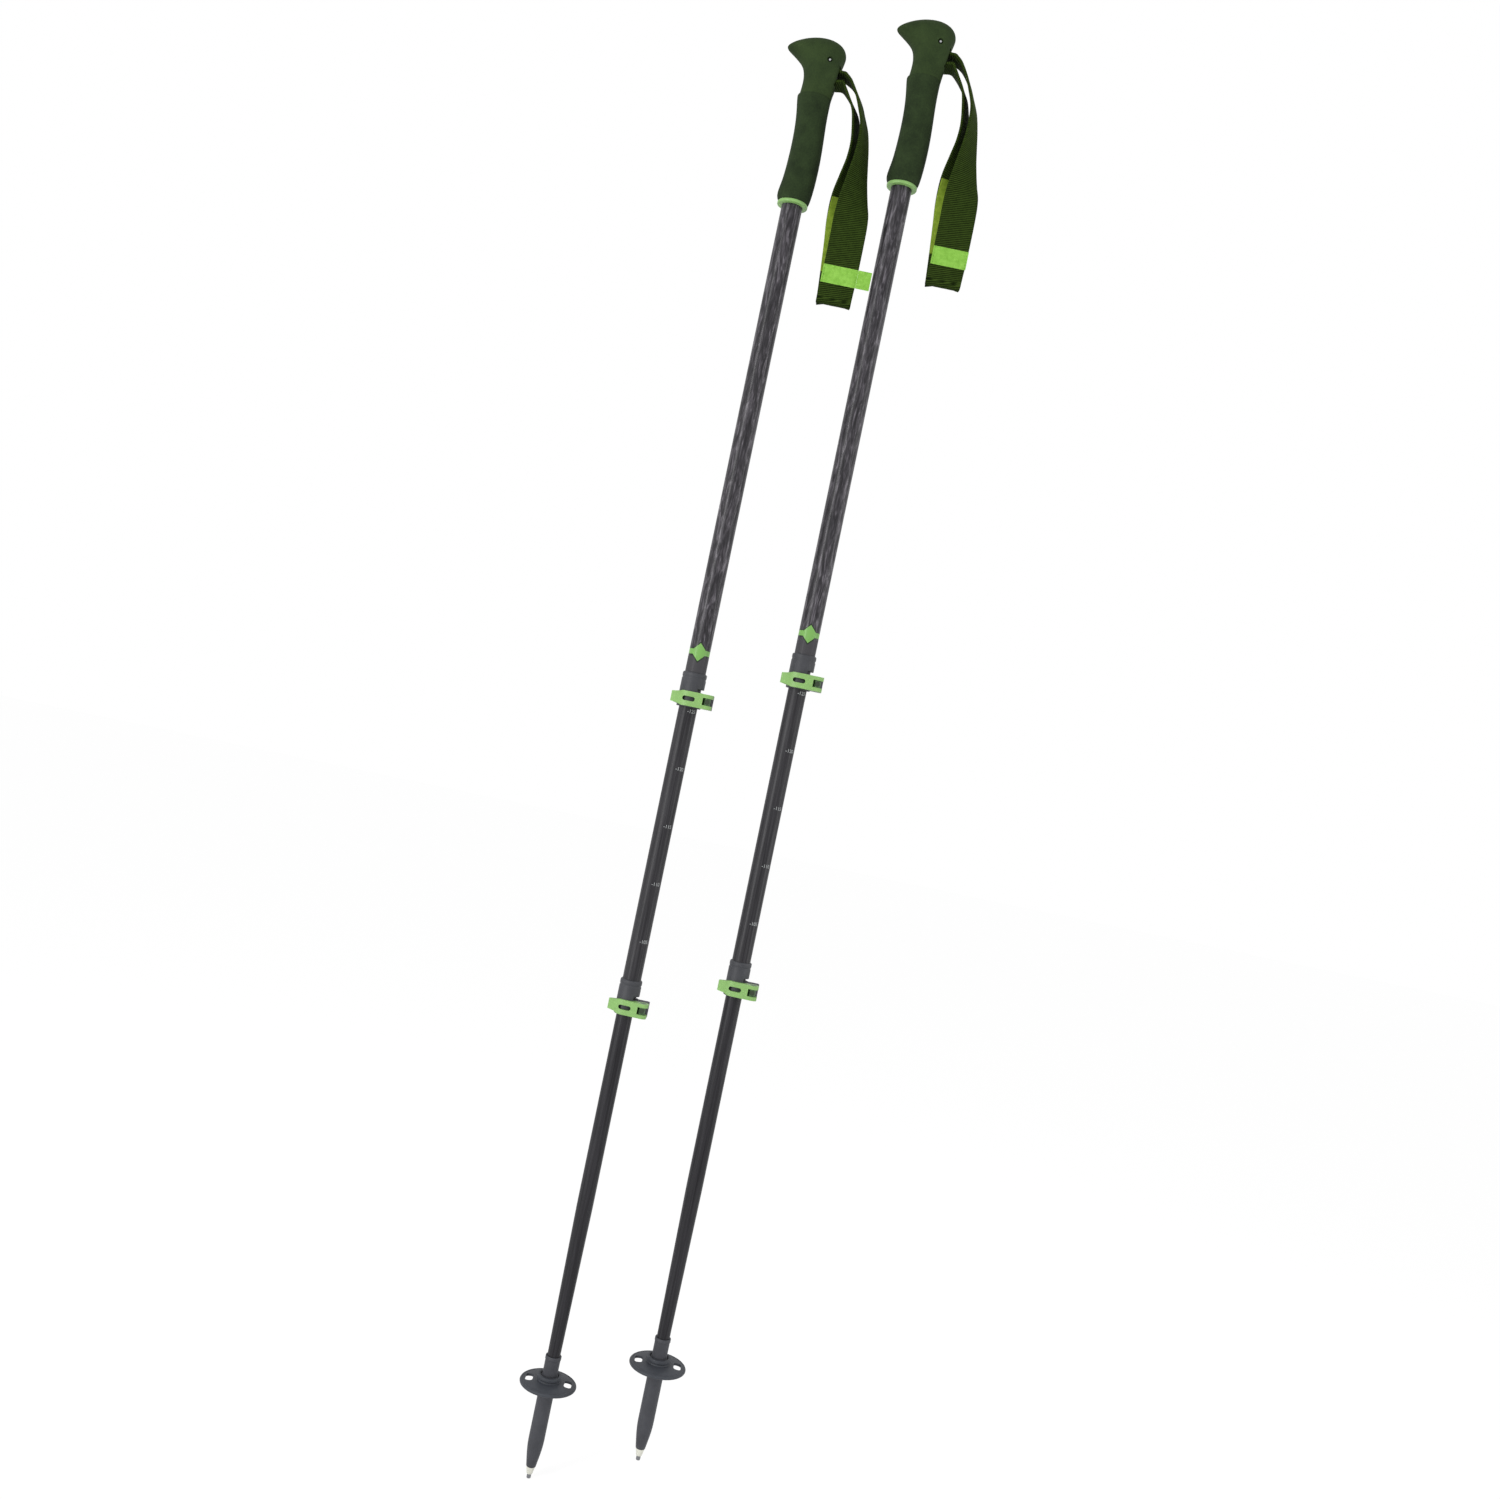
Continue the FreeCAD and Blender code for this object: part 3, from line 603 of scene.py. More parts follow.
def prism(outline, low, high):
    """A closed slab: an outline in plan, raised from one height to another."""
    bm = bmesh.new()
    face = bm.faces.new([bm.verts.new((x, y, low)) for x, y in outline])
    raised = bmesh.ops.extrude_face_region(bm, geom=[face])["geom"]
    top = [item for item in raised if isinstance(item, bmesh.types.BMVert)]
    bmesh.ops.translate(bm, vec=(0, 0, high - low), verts=top)
    bmesh.ops.recalc_face_normals(bm, faces=bm.faces)
    return bm


def brick(low, high):
    """A box between two corners."""
    bm = bmesh.new()
    low, high = Vector(low), Vector(high)
    shape = Matrix.Translation((low + high) / 2) @ Matrix.Diagonal((*(high - low), 1))
    bmesh.ops.create_cube(bm, size=1, matrix=shape)
    return bm


def rod(radius, start, end, segments=48, end_radius=None):
    """A round bar between two points, or a cone if its far end has another radius."""
    bm = bmesh.new()
    start, end = Vector(start), Vector(end)
    turn = (end - start).to_track_quat("Z", "Y").to_matrix().to_4x4()
    shape = Matrix.Translation((start + end) / 2) @ turn
    bmesh.ops.create_cone(bm, cap_ends=True, segments=segments, radius1=radius,
                          radius2=radius if end_radius is None else end_radius,
                          depth=(end - start).length, matrix=shape)
    return bm


def as_object(bm, name):
    """A bmesh as a scratch object."""
    mesh = bpy.data.meshes.new(name)
    bm.to_mesh(mesh)
    bm.free()
    holder = bpy.data.objects.new(name, mesh)
    bpy.context.scene.collection.objects.link(holder)
    return holder


def combined(bm, others, operation):
    """One closed shape joined with others, cut by them or kept only inside them."""
    body = as_object(bm, "body")
    tools = [as_object(other, "tool") for other in others]
    for tool in tools:
        step = body.modifiers.new("cut", "BOOLEAN")
        step.operation = operation
        step.solver = "EXACT"
        step.object = tool
    made = bmesh.new()
    made.from_object(body, bpy.context.evaluated_depsgraph_get())
    for holder in [body] + tools:
        bpy.data.objects.remove(holder)
    bmesh.ops.remove_doubles(made, verts=made.verts, dist=1e-3)
    bmesh.ops.dissolve_degenerate(made, edges=made.edges, dist=1e-3)
    return made


def polar(radius, angle):
    """A point in plan at an angle in degrees from +X."""
    return (radius * math.cos(math.radians(angle)), radius * math.sin(math.radians(angle)))


def arc(radius, start, end, centre=(0.0, 0.0)):
    """Points of an arc in plan, angles in degrees."""
    count = max(2, round(abs(math.radians(end - start)) / ARC_STEP))
    points = []
    for step in range(count + 1):
        x, y = polar(radius, start + (end - start) * step / count)
        points.append((centre[0] + x, centre[1] + y))
    return points


print("carving tools ready")

# %% [markdown]
# ## Clamp sleeve
# A sleeve is glued to the end of the wider tube. Its split band below has two ears behind the
# lever, and a relief slit frees the band on that side, so that the cam can draw it tight.

# %% The sizes of one clamp
class Clamp:
    """One clamp's places on its pole, in millimetres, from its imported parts."""

    def __init__(self, name, inner_tube):
        self.name = name
        self.base, self.top = span(name + "_sleeve")
        self.wall = radius_of(name + "_sleeve")
        self.bore = tube_radius[inner_tube] + SLIDE_GAP
        low, high = span(name + "_lever")
        self.lever_low, self.lever_high = low, high
        self.middle = (low + high) / 2
        nut = middle_of("left_" + name + "_barrel_nut") / MM
        self.hub = (nut.x, nut.y)
        self.nut_radius = radius_of(name + "_barrel_nut")


clamps = [Clamp("upper_clamp", "middle_tube"), Clamp("lower_clamp", "lower_tube")]
for clamp in clamps:
    print(clamp.name, f"base {clamp.base:.1f} wall {clamp.wall:.2f} hub at {clamp.hub[0]:.1f}")

# %% Sleeves with ears and slits
EAR_FACE = 4.35
EAR_PAST_HUB = 4.9
SLIT_HALF = 0.75
BAND_HEIGHT = 13.8
RELIEF_HEIGHT = 2.8
RELIEF_FROM = 5.0
SLEEVE_RIM = 1.4
SLEEVE_LIP = 0.35
SLEEVE_NECK = 5.2
EAR_CORNER = 1.5


def sleeve(clamp):
    """The sleeve of one clamp."""
    wall = clamp.wall
    rim = [(wall - SLEEVE_RIM * (1 - math.cos(a)), clamp.top - SLEEVE_RIM * (1 - math.sin(a)))
           for a in (math.radians(step * 15) for step in range(7))]
    neck = clamp.top - SLEEVE_NECK
    groove = wall - SLEEVE_LIP
    outside = [(wall, clamp.base), (wall, neck - 0.6), (groove, neck), (groove, neck + 0.8),
               (wall, neck + 1.4)]
    body = spun([(clamp.bore, clamp.base)] + outside + rim + [(clamp.bore, clamp.top)], steps=72)
    far = clamp.hub[0] + EAR_PAST_HUB
    ears = prism([(0, -EAR_FACE), (far - EAR_CORNER, -EAR_FACE), (far, -EAR_FACE + EAR_CORNER),
                  (far, EAR_FACE - EAR_CORNER), (far - EAR_CORNER, EAR_FACE), (0, EAR_FACE)],
                 clamp.lever_low, clamp.lever_high)
    body = combined(body, [ears], "UNION")
    reach = far + 1
    band_top = clamp.base + BAND_HEIGHT
    cuts = [
        rod(clamp.bore, (0, 0, clamp.base - 1), (0, 0, clamp.top + 1), 72),
        brick((0, -SLIT_HALF, clamp.base - 1), (reach, SLIT_HALF, band_top)),
        brick((RELIEF_FROM, -reach, band_top), (reach, reach, band_top + RELIEF_HEIGHT)),
        rod(2.1, (clamp.hub[0], -reach, clamp.middle), (clamp.hub[0], reach, clamp.middle), 32),
    ]
    return combined(body, cuts, "DIFFERENCE")


for clamp in clamps:
    body = "upper" if clamp.name == "upper_clamp" else "middle"
    make_each(clamp.name + "_sleeve", body, lambda: sleeve(clamp), clamp_plastic, "clamp_plastic",
              [clamp.name + "_sleeve"], bevel=0.3)

# %% [markdown]
# ## Clamp lever
# The bright lever wraps round the sleeve from its hinge to a short flared finger tab. In plan it
# is two arcs and a cam, so it is drawn as an outline and raised. Its tab is then made narrower, and
# the oblong window in front and the gap between its cheeks are carved out.

# %% Levers
LEVER_GAP = 0.35
LEVER_THICKNESS = 2.6
CAM_RADIUS = 4.8
CAM_THROW = 0.25
TAB_ANGLE = -140.0
TAB_FLARE = 20.0
TAB_LENGTH = 6.8
TAB_THICKNESS = 2.2
TAB_HALF_HEIGHT = 4.4
WINDOW_CENTRE = -0.7
WINDOW_HALF_LENGTH = 5.4
WINDOW_HALF_HEIGHT = 1.9
CHEEK_GAP_HALF = 3.1
CHEEK_REACH = 3.9


def lever_outline(clamp):
    """The lever in plan."""
    inner = clamp.wall + LEVER_GAP
    outer = inner + LEVER_THICKNESS
    cam = (clamp.hub[0], clamp.hub[1] + CAM_THROW)
    lean = math.radians(TAB_ANGLE - 90 + TAB_FLARE)
    foot = Vector(polar(outer, TAB_ANGLE))
    tip = foot + TAB_LENGTH * Vector((math.cos(lean), math.sin(lean)))
    tip_inner = tip + Vector(polar(TAB_THICKNESS, TAB_ANGLE - 180 + TAB_FLARE))
    points = arc(outer, TAB_ANGLE, -90)
    points += arc(CAM_RADIUS, -90, 135, cam)
    points += arc(inner, -35, TAB_ANGLE)
    return points + [tuple(tip_inner), tuple(tip)]


def lever(clamp):
    """The lever of one clamp, with its windows."""
    body = prism(lever_outline(clamp), clamp.lever_low, clamp.lever_high)
    full = (clamp.lever_high - clamp.lever_low) / 2
    outer = clamp.wall + LEVER_GAP + LEVER_THICKNESS
    for vert in body.verts:
        share = min(1.0, max(0.0, (-outer / 2 - vert.co.x) / (outer / 2 - 1.2)))
        half = full + (TAB_HALF_HEIGHT - full) * share
        vert.co.z = clamp.middle + half * (vert.co.z - clamp.middle) / full
    straight = WINDOW_HALF_LENGTH - WINDOW_HALF_HEIGHT
    ends = [(WINDOW_CENTRE + side * straight, clamp.middle) for side in (-1, 1)]
    window = brick((ends[0][0], -outer - 1, clamp.middle - WINDOW_HALF_HEIGHT),
                   (ends[1][0], -outer / 2, clamp.middle + WINDOW_HALF_HEIGHT))
    rounds = [rod(WINDOW_HALF_HEIGHT, (x, -outer - 1, z), (x, -outer / 2, z), 32) for x, z in ends]
    window = combined(window, rounds, "UNION")
    x, y = clamp.hub
    reach = 3 * CAM_RADIUS
    jaw = brick((x - CHEEK_REACH, y - reach, clamp.middle - CHEEK_GAP_HALF),
                (x + reach, y + reach, clamp.middle + CHEEK_GAP_HALF))
    bore = rod(clamp.nut_radius + SLIDE_GAP, (x, y, clamp.base - 1),
               (x, y, clamp.lever_high + 1), 32)
    return combined(body, [window, jaw, bore], "DIFFERENCE")


for clamp in clamps:
    make_each(clamp.name + "_lever", clamp.name.replace("clamp", "lever"), lambda: lever(clamp),
              lever_plastic, "lime_plastic", [clamp.name + "_lever"], bevel=0.45)

# %% [markdown]
# ## Barrel nut and screw
# The lever turns on a barrel nut, and a slotted screw crosses the ears into it. Both are small and
# round, so a profile spun about Z makes the nut and rods and a cut slot make the screw.

# %% Nuts and screws
SCREW_RADIUS = 2.0
SCREW_HEAD_RADIUS = 3.4
SCREW_HEAD = 2.6
SCREW_SLOT = 0.45
SCREW_SLOT_DEPTH = 1.2


def barrel_nut(clamp):
    """The hinge pin of the lever, with its cross hole."""
    x, y = clamp.hub
    low, high = span(clamp.name + "_barrel_nut")
    pin = rod(clamp.nut_radius, (x, y, low), (x, y, high))
    hole = rod(SCREW_RADIUS + BOND_GAP, (x, y - 6, clamp.middle), (x, y + 6, clamp.middle))
    return combined(pin, [hole], "DIFFERENCE")


def screw(clamp):
    """The adjusting screw with a slotted head behind the far ear."""
    x, y = clamp.hub
    z = clamp.middle
    seat = EAR_FACE + 0.15
    end = seat + SCREW_HEAD
    shank = rod(SCREW_RADIUS, (x, y - clamp.nut_radius + 0.4, z), (x, seat + 0.5, z))
    head = rod(SCREW_HEAD_RADIUS, (x, seat, z), (x, end, z))
    body = combined(shank, [head], "UNION")
    slot = brick((x - 5, end - SCREW_SLOT_DEPTH, z - SCREW_SLOT), (x + 5, end + 1, z + SCREW_SLOT))
    return combined(body, [slot], "DIFFERENCE")


for clamp in clamps:
    body = "upper" if clamp.name == "upper_clamp" else "middle"
    make_each(clamp.name + "_barrel_nut", body, lambda: barrel_nut(clamp), nut_plastic, "steel",
              [clamp.name + "_barrel_nut"], bevel=0.25)
    make_each(clamp.name + "_screw", clamp.name.replace("clamp", "screw"), lambda: screw(clamp),
              screw_steel, "steel", [clamp.name + "_screw"], bevel=0.2)

# %% [markdown]
# ## Tip and basket
# The tip body is one turned moulding, from its slim nose over the straight barrel and the basket's
# thread to the collar that the tube goes into. The basket is a turned dish with a rolled edge and
# two windows, and its hub stands up round the thread.

# %% Tip, ferrule and carbide
BARREL_RADIUS = 6.85
BARREL_FROM = 34.0
LAND_RADIUS = 6.25
LAND_START = 0.5
COLLAR_RADIUS = 6.5
NOSE = 15.6
SOCKET_DEPTH = 45.0
SPIGOT_HOLE = 2.65
THREAD_START = 1.88
THREAD_LENGTH = 8.0
THREAD_TURNS = 4
CREST_RADIUS = 7.4
ROOT_RADIUS = 7.1
CARBIDE_RADIUS = 1.85
CARBIDE_SHOW = 4.0
FERRULE_RADIUS = 3.8
FERRULE_SPIGOT = 14.0


def tip_body():
    """The moulded tip body."""
    low, high = span("tip_body")
    basket_low = span("basket")[0]
    barrel_top = basket_low - LAND_START
    thread_low = basket_low + THREAD_START
    thread_high = thread_low + THREAD_LENGTH
    socket = high - SOCKET_DEPTH
    profile = [(SPIGOT_HOLE, low), (3.95, low), (4.15, low + 0.3), (5.1, low + NOSE * 0.4),
               (5.95, low + NOSE * 0.75), (6.4, low + NOSE), (6.7, low + NOSE + 3.4),
               (BARREL_RADIUS, BARREL_FROM), (BARREL_RADIUS, barrel_top),
               (LAND_RADIUS, barrel_top), (LAND_RADIUS, thread_low)]
    half_turn = THREAD_LENGTH / THREAD_TURNS / 2
    for step in range(THREAD_TURNS):
        foot = thread_low + 2 * step * half_turn
        crest = foot + half_turn
        profile += [(CREST_RADIUS, foot + 0.2), (CREST_RADIUS, crest),
                    (ROOT_RADIUS, crest + 0.3), (ROOT_RADIUS, crest + half_turn - 0.1)]
    profile += [(COLLAR_RADIUS, thread_high), (COLLAR_RADIUS, high - 3.3),
                (BARREL_RADIUS, high - 3.0), (BARREL_RADIUS, high - 0.45), (COLLAR_RADIUS, high),
                (5.75, high), (5.3, socket), (SPIGOT_HOLE, socket)]
    return spun(profile)


def ferrule():
    """The pale ferrule between tip body and carbide."""
    low, high = CARBIDE_SHOW, span("tip_body")[0]
    bore = CARBIDE_RADIUS + BOND_GAP
    spigot = SPIGOT_HOLE - BOND_GAP
    end = high + FERRULE_SPIGOT
    return spun([(bore, low), (2.35, low), (2.55, low + 0.25), (FERRULE_RADIUS, high - 0.25),
                 (FERRULE_RADIUS, high), (spigot, high), (spigot, end), (bore, end)], steps=64)


def carbide_insert():
    """The hard insert: a short bar with a rounded, slightly dished end."""
    low, high = span("carbide_tip")
    end = [(0.0, 0.25), (0.7, 0.12), (1.2, 0.0), (1.5, 0.08), (1.75, 0.35), (CARBIDE_RADIUS, 0.8)]
    return spun([(radius, low + rise) for radius, rise in end]
                + [(CARBIDE_RADIUS, high), (0.0, high)], steps=48)


make_each("tip_body", "lower", tip_body, tip_plastic, "tip_plastic", ["tip_body"])
make_each("tip_ferrule", "lower", ferrule, ferrule_plastic, "ferrule", ["tip_ferrule"])
make_each("carbide_tip", "lower", carbide_insert, carbide, "carbide", ["carbide_tip"])

# %% The basket
BEAD = 1.6
LIP_RADIUS = 6.35
HUB_LIP = 1.8
WINDOW_REACH = 16.8
WINDOW_SIZE = (3.2, 6.0)
WINDOW_CORNER = 2.6


def window_plan(centre):
    """A rounded oblong in plan."""
    half_x, half_y = WINDOW_SIZE
    x = half_x - WINDOW_CORNER
    y = half_y - WINDOW_CORNER
    points = []
    for quarter, (sx, sy) in enumerate(((1, 1), (-1, 1), (-1, -1), (1, -1))):
        points += arc(WINDOW_CORNER, quarter * 90, quarter * 90 + 90, (centre + sx * x, sy * y))
    return points


def basket():
    """The basket: hub, dish and rolled edge."""
    low, high = span("basket")
    edge = radius_of("basket")
    bead = (edge - BEAD, low + 2.5)
    rim = [(bead[0] + BEAD * math.cos(math.radians(a)), bead[1] + BEAD * math.sin(math.radians(a)))
           for a in range(-120, 121, 20)]
    profile = [(LIP_RADIUS, low), (9.9, low), (10.5, low + 0.5), (10.7, low + 2.6),
               (14.0, low + 2.9), (edge - 3.6, low + 2.2)]
    profile += rim
    profile += [(edge - 3.4, low + 4.3), (15.0, low + 4.8), (11.6, low + 5.3), (9.9, low + 5.5),
                (9.6, low + 6.0), (9.6, low + 6.9), (10.2, low + 7.3), (10.6, low + 7.8),
                (10.6, high - 0.8), (10.35, high - 0.2), (9.7, high), (8.5, high),
                (8.0, high - 0.3), (7.5, high - 1.2), (7.5, low + HUB_LIP),
                (LIP_RADIUS, low + HUB_LIP)]
    body = spun(profile)
    windows = [prism(window_plan(side * WINDOW_REACH), low - 1, high + 1) for side in (-1, 1)]
    return combined(body, windows, "DIFFERENCE")


make_each("basket", "basket", basket, basket_plastic, "basket_plastic", ["basket"], bevel=0.3)

# %% [markdown]
# ## Grip
# The foam and the head are egg-shaped in plan, and the head is drawn out in front into the beak.
# Rings of points at a few heights are bridged and subdivided, which gives the soft bulges. The head
# is squarer behind its mouth, so that the mouth's side walls hide the webbing inside, and it then
# gets the mouth and a small recess on each side for the pin.

# %% Rings of points
RING_POINTS = 32
# height, cover over the tube in front, behind and at the sides, and squareness behind
foam_rings = [
    (0.0, 2.6, 3.4, 2.9), (0.15, 3.4, 4.0, 3.4), (2.8, 5.5, 5.0, 4.6), (8.0, 6.0, 5.8, 5.0),
    (19.0, 3.6, 6.7, 4.8), (37.0, 2.6, 7.2, 4.2), (56.0, 2.2, 6.4, 3.8), (74.0, 3.2, 5.2, 3.9),
    (86.0, 5.2, 5.2, 4.6), (90.6, 5.8, 5.3, 4.7), (91.4, 5.75, 5.28, 4.65), (91.5, 5.55, 5.1, 4.5),
]
head_rings = [
    (0.0, 4.3, 5.3, 4.2), (0.1, 4.45, 5.4, 4.3), (0.8, 4.5, 5.4, 4.3), (7.0, 3.8, 6.0, 4.1, 0.7),
    (14.3, 3.5, 6.9, 4.3, 1.35), (20.0, 4.4, 7.4, 4.7, 1.35), (24.5, 5.9, 7.9, 5.1, 1.2),
    (28.0, 8.4, 8.6, 5.6, 0.9), (31.2, 12.0, 9.5, 6.1, 0.4), (35.2, 17.8, 10.5, 6.6),
    (37.6, 21.6, 10.8, 6.7), (38.8, 22.8, 10.8, 6.7),
    (40.2, 22.0, 10.6, 6.6), (42.6, 18.9, 9.9, 5.9), (45.2, 14.0, 8.2, 4.4), (47.6, 7.6, 5.0, 1.8),
    (49.2, 1.0, 0.8, -1.8), (49.9, -4.0, -3.0, -5.2),
]


def ringed(rings, base):
    """A shape through egg-shaped rings round the shaft, open at both ends, and the ring edges."""
    bm = bmesh.new()
    loops = []
    tube_wall = tube_radius["upper_tube"]
    for height, front, back, side, *squareness in rings:
        power = 1 - 0.5 * (squareness[0] if squareness else 0)
        loop = []
        for step in range(RING_POINTS):
            angle = 2 * math.pi * step / RING_POINTS
            along, across = math.cos(angle), math.sin(angle)
            if along > 0:
                along = along ** power
                across = math.copysign(abs(across) ** power, across)
            reach = back if along > 0 else front
            loop.append(bm.verts.new(((tube_wall + reach) * along,
                                      (tube_wall + side) * across, base + height)))
        loops.append([bm.edges.new((loop[i - 1], loop[i])) for i in range(RING_POINTS)])
    for lower, upper in zip(loops, loops[1:]):
        bmesh.ops.bridge_loops(bm, edges=lower + upper)
    return bm, loops


def foam_grip():
    """The foam grip."""
    base, top = span("grip_foam")
    bm, loops = ringed(foam_rings, base)
    bore = tube_radius["upper_tube"] + BOND_GAP
    ends = []
    for height in (base, top):
        made = bmesh.ops.create_circle(bm, cap_ends=False, radius=bore, segments=RING_POINTS,
                                       matrix=Matrix.Translation((0, 0, height)))
        ends.append([edge for edge in {e for v in made["verts"] for e in v.link_edges}])
    bmesh.ops.bridge_loops(bm, edges=loops[0] + ends[0])
    bmesh.ops.bridge_loops(bm, edges=loops[-1] + ends[1])
    bmesh.ops.bridge_loops(bm, edges=ends[0] + ends[1])
    return bm


make_each("grip_foam", "upper", foam_grip, foam, "grip_foam", ["grip_foam"], smooth=2)

# %% The head, its mouth and the pin's recesses
PIN_RECESS = 2.35
PIN_END = 12.2
POCKET_HALF = 10.25


def rounded(bm, levels):
    """A bmesh after subdivision, ready to be carved."""
    holder = as_object(bm, "rounded")
    step = holder.modifiers.new("smooth", "SUBSURF")
    step.levels = levels
    step.render_levels = levels
    made = bmesh.new()
    made.from_object(holder, bpy.context.evaluated_depsgraph_get())
    bpy.data.objects.remove(holder)
    return made


def grip_head():
    """The moulded head with its beak."""
    base = span("grip_head")[0]
    bm, loops = ringed(head_rings, base)
    for loop in (loops[0], loops[-1]):
        bmesh.ops.edgeloop_fill(bm, edges=loop)
    bmesh.ops.recalc_face_normals(bm, faces=bm.faces)
    body = rounded(bm, 2)
    tube_end = span("upper_tube")[1]
    core_top = span("grip_core")[1]
    pin = middle_of("left_strap_pin") / MM
    cuts = [
        rod(tube_radius["upper_tube"] + BOND_GAP, (0, 0, base - 1), (0, 0, tube_end + 1)),
        rod(radius_of("grip_core") + BOND_GAP, (0, 0, tube_end), (0, 0, core_top)),
        brick((-4.0, -POCKET_HALF, base + 10.8), (13.3, POCKET_HALF, base + 34.0)),
        brick((6.8, -POCKET_HALF, base + 10.8), (30.0, POCKET_HALF, base + 27.4)),
        rod(PIN_RECESS, (pin.x, -40, pin.z), (pin.x, -PIN_END, pin.z)),
        rod(PIN_RECESS, (pin.x, PIN_END, pin.z), (pin.x, 40, pin.z)),
    ]
    return combined(body, cuts, "DIFFERENCE")


make_each("grip_head", "upper", grip_head, head_skin, "grip_rubber", ["grip_head"], bevel=0.35)

# %% End ring and pin
PIN_RADIUS = 1.5
DOME = 1.4
DOME_END = 0.9


def end_ring():
    """The bright ring under the foam."""
    low, high = span("grip_end_ring")
    outer = radius_of("grip_end_ring")
    bore = tube_radius["upper_tube"] + BOND_GAP
    return spun([(bore, low), (outer - 0.8, low), (outer - 0.25, low + 0.25), (outer, low + 0.8),
                 (outer, high - 0.4), (outer - 0.3, high), (bore, high)])


def strap_pin():
    """The cross pin with its domed ends, which stand nearly level with the head's sides."""
    place = middle_of("left_strap_pin") / MM
    reach = radius_of("strap_pin")
    shank = reach - 0.2
    bm = rod(PIN_RADIUS, (place.x, -shank, place.z), (place.x, shank, place.z))
    for side in (-1, 1):
        end = side * (reach + DOME)
        dome = rod(PIN_RADIUS, (place.x, side * shank, place.z), (place.x, end, place.z),
                   end_radius=DOME_END)
        bm = combined(bm, [dome], "UNION")
    return bm


make_each("grip_end_ring", "upper", end_ring, lever_plastic, "lime_plastic", ["grip_end_ring"])
make_each("strap_pin", "upper", strap_pin, steel, "steel", ["strap_pin"])

# %% [markdown]
# ## Wrist strap
# The strap is one length of webbing that leaves the grip's mouth edge-on, twists as it hangs and
# folds back up at the bottom. A grid is rolled into a tube with the webbing's section, and its rows
# are laid along a smooth path through a few chosen stations. The ribs are real waves in the grid.

# %% Stations of the strap
MOUTH = 20.2
STRAP_WIDTH = 20.0
WRIST_WIDTH = 30.0
STRAP_THICKNESS = 2.2
FOLD = (30.9, 0.0, -163.6)
FOLD_RADIUS = 5.0
# reach from the shaft, toward the far side, height over the head's foot, turn, widening
front_limb = [
    (0.0, 0.0, 23.3, 0.0, 0.0), (1.0, 0.0, 23.3, 0.0, 0.0), (3.9, 0.0, 22.4, 8.0, 0.0),
    (10.3, 0.0, 17.4, 14.0, 0.0), (17.2, -0.4, 6.9, 17.0, 0.0), (21.8, -0.9, -3.6, 18.0, 0.0),
    (26.5, -1.6, -16.4, 21.0, 0.0), (28.7, -2.5, -30.7, 27.0, 0.1), (29.6, -3.5, -47.5, 36.0, 0.3),
    (29.8, -5.0, -63.0, 47.0, 0.55), (30.3, -6.2, -79.8, 61.0, 0.85),
    (31.1, -7.0, -94.5, 79.0, 1.0),
    (31.5, -7.2, -112.5, 90.0, 1.0), (31.5, -6.4, -140.0, 90.0, 1.0),
]
back_limb = [
    (0.0, 0.0, 15.4, 0.0, 0.0), (1.0, 0.0, 15.4, 0.0, 0.0), (3.6, 0.0, 13.4, 8.0, 0.0),
    (9.6, 0.0, 5.6, 15.0, 0.0), (16.4, 0.9, -4.9, 19.0, 0.0), (19.8, 1.6, -17.0, 22.0, 0.0),
    (22.6, 2.5, -31.2, 27.0, 0.1), (23.8, 3.5, -45.3, 36.0, 0.3), (23.4, 5.0, -60.0, 47.0, 0.55),
    (23.2, 6.2, -77.0, 61.0, 0.85), (25.2, 7.0, -94.5, 79.0, 1.0), (27.2, 7.2, -112.5, 90.0, 1.0),
    (29.4, 6.4, -140.0, 90.0, 1.0),
]
head_foot = span("grip_head")[0]


class Station:
    """One place along a strap: its centre, turn in degrees and width."""

    def __init__(self, centre, turn, width):
        self.centre = Vector(centre)
        self.turn = turn
        self.width = width

    def mixed(self, weights, others):
        """A weighted sum of stations."""
        centre = Vector((0, 0, 0))
        turn = width = 0.0
        for weight, other in zip(weights, others):
            centre += weight * other.centre
            turn += weight * other.turn
            width += weight * other.width
        return Station(centre, turn, width)


def limb(rows):
    """Stations of one hanging limb."""
    return [Station((MOUTH + reach, far, head_foot + height), turn,
                    STRAP_WIDTH + gain * (WRIST_WIDTH - STRAP_WIDTH))
            for reach, far, height, turn, gain in rows]


def fold():
    """Stations round the bottom of the loop."""
    x, y, height = FOLD
    stations = []
    for step in range(9):
        angle = math.radians(180 + step * 22.5)
        centre = (MOUTH + x, y + FOLD_RADIUS * math.cos(angle),
                  head_foot + height + FOLD_RADIUS * math.sin(angle))
        stations.append(Station(centre, 90.0, WRIST_WIDTH))
    return stations


def smooth_path(stations, spacing):
    """Stations at an even spacing on a smooth curve through the given ones."""
    fine = []
    last = len(stations) - 1
    for index in range(last):
        four = [stations[max(index - 1, 0)], stations[index], stations[index + 1],
                stations[min(index + 2, last)]]
        for step in range(24):
            t = step / 24
            weights = (-0.5 * t + t * t - 0.5 * t ** 3, 1 - 2.5 * t * t + 1.5 * t ** 3,
                       0.5 * t + 2 * t * t - 1.5 * t ** 3, -0.5 * t * t + 0.5 * t ** 3)
            fine.append(four[0].mixed(weights, four))
    fine.append(stations[-1])
    lengths = [0.0]
    for a, b in zip(fine, fine[1:]):
        lengths.append(lengths[-1] + (b.centre - a.centre).length)
    count = max(2, round(lengths[-1] / spacing))
    even, index = [], 0
    for step in range(count + 1):
        want = lengths[-1] * step / count
        while index < len(fine) - 2 and lengths[index + 1] < want:
            index += 1
        share = (want - lengths[index]) / max(lengths[index + 1] - lengths[index], 1e-9)
        even.append(fine[index].mixed((1 - share, share), (fine[index], fine[index + 1])))
    return even, lengths[-1]


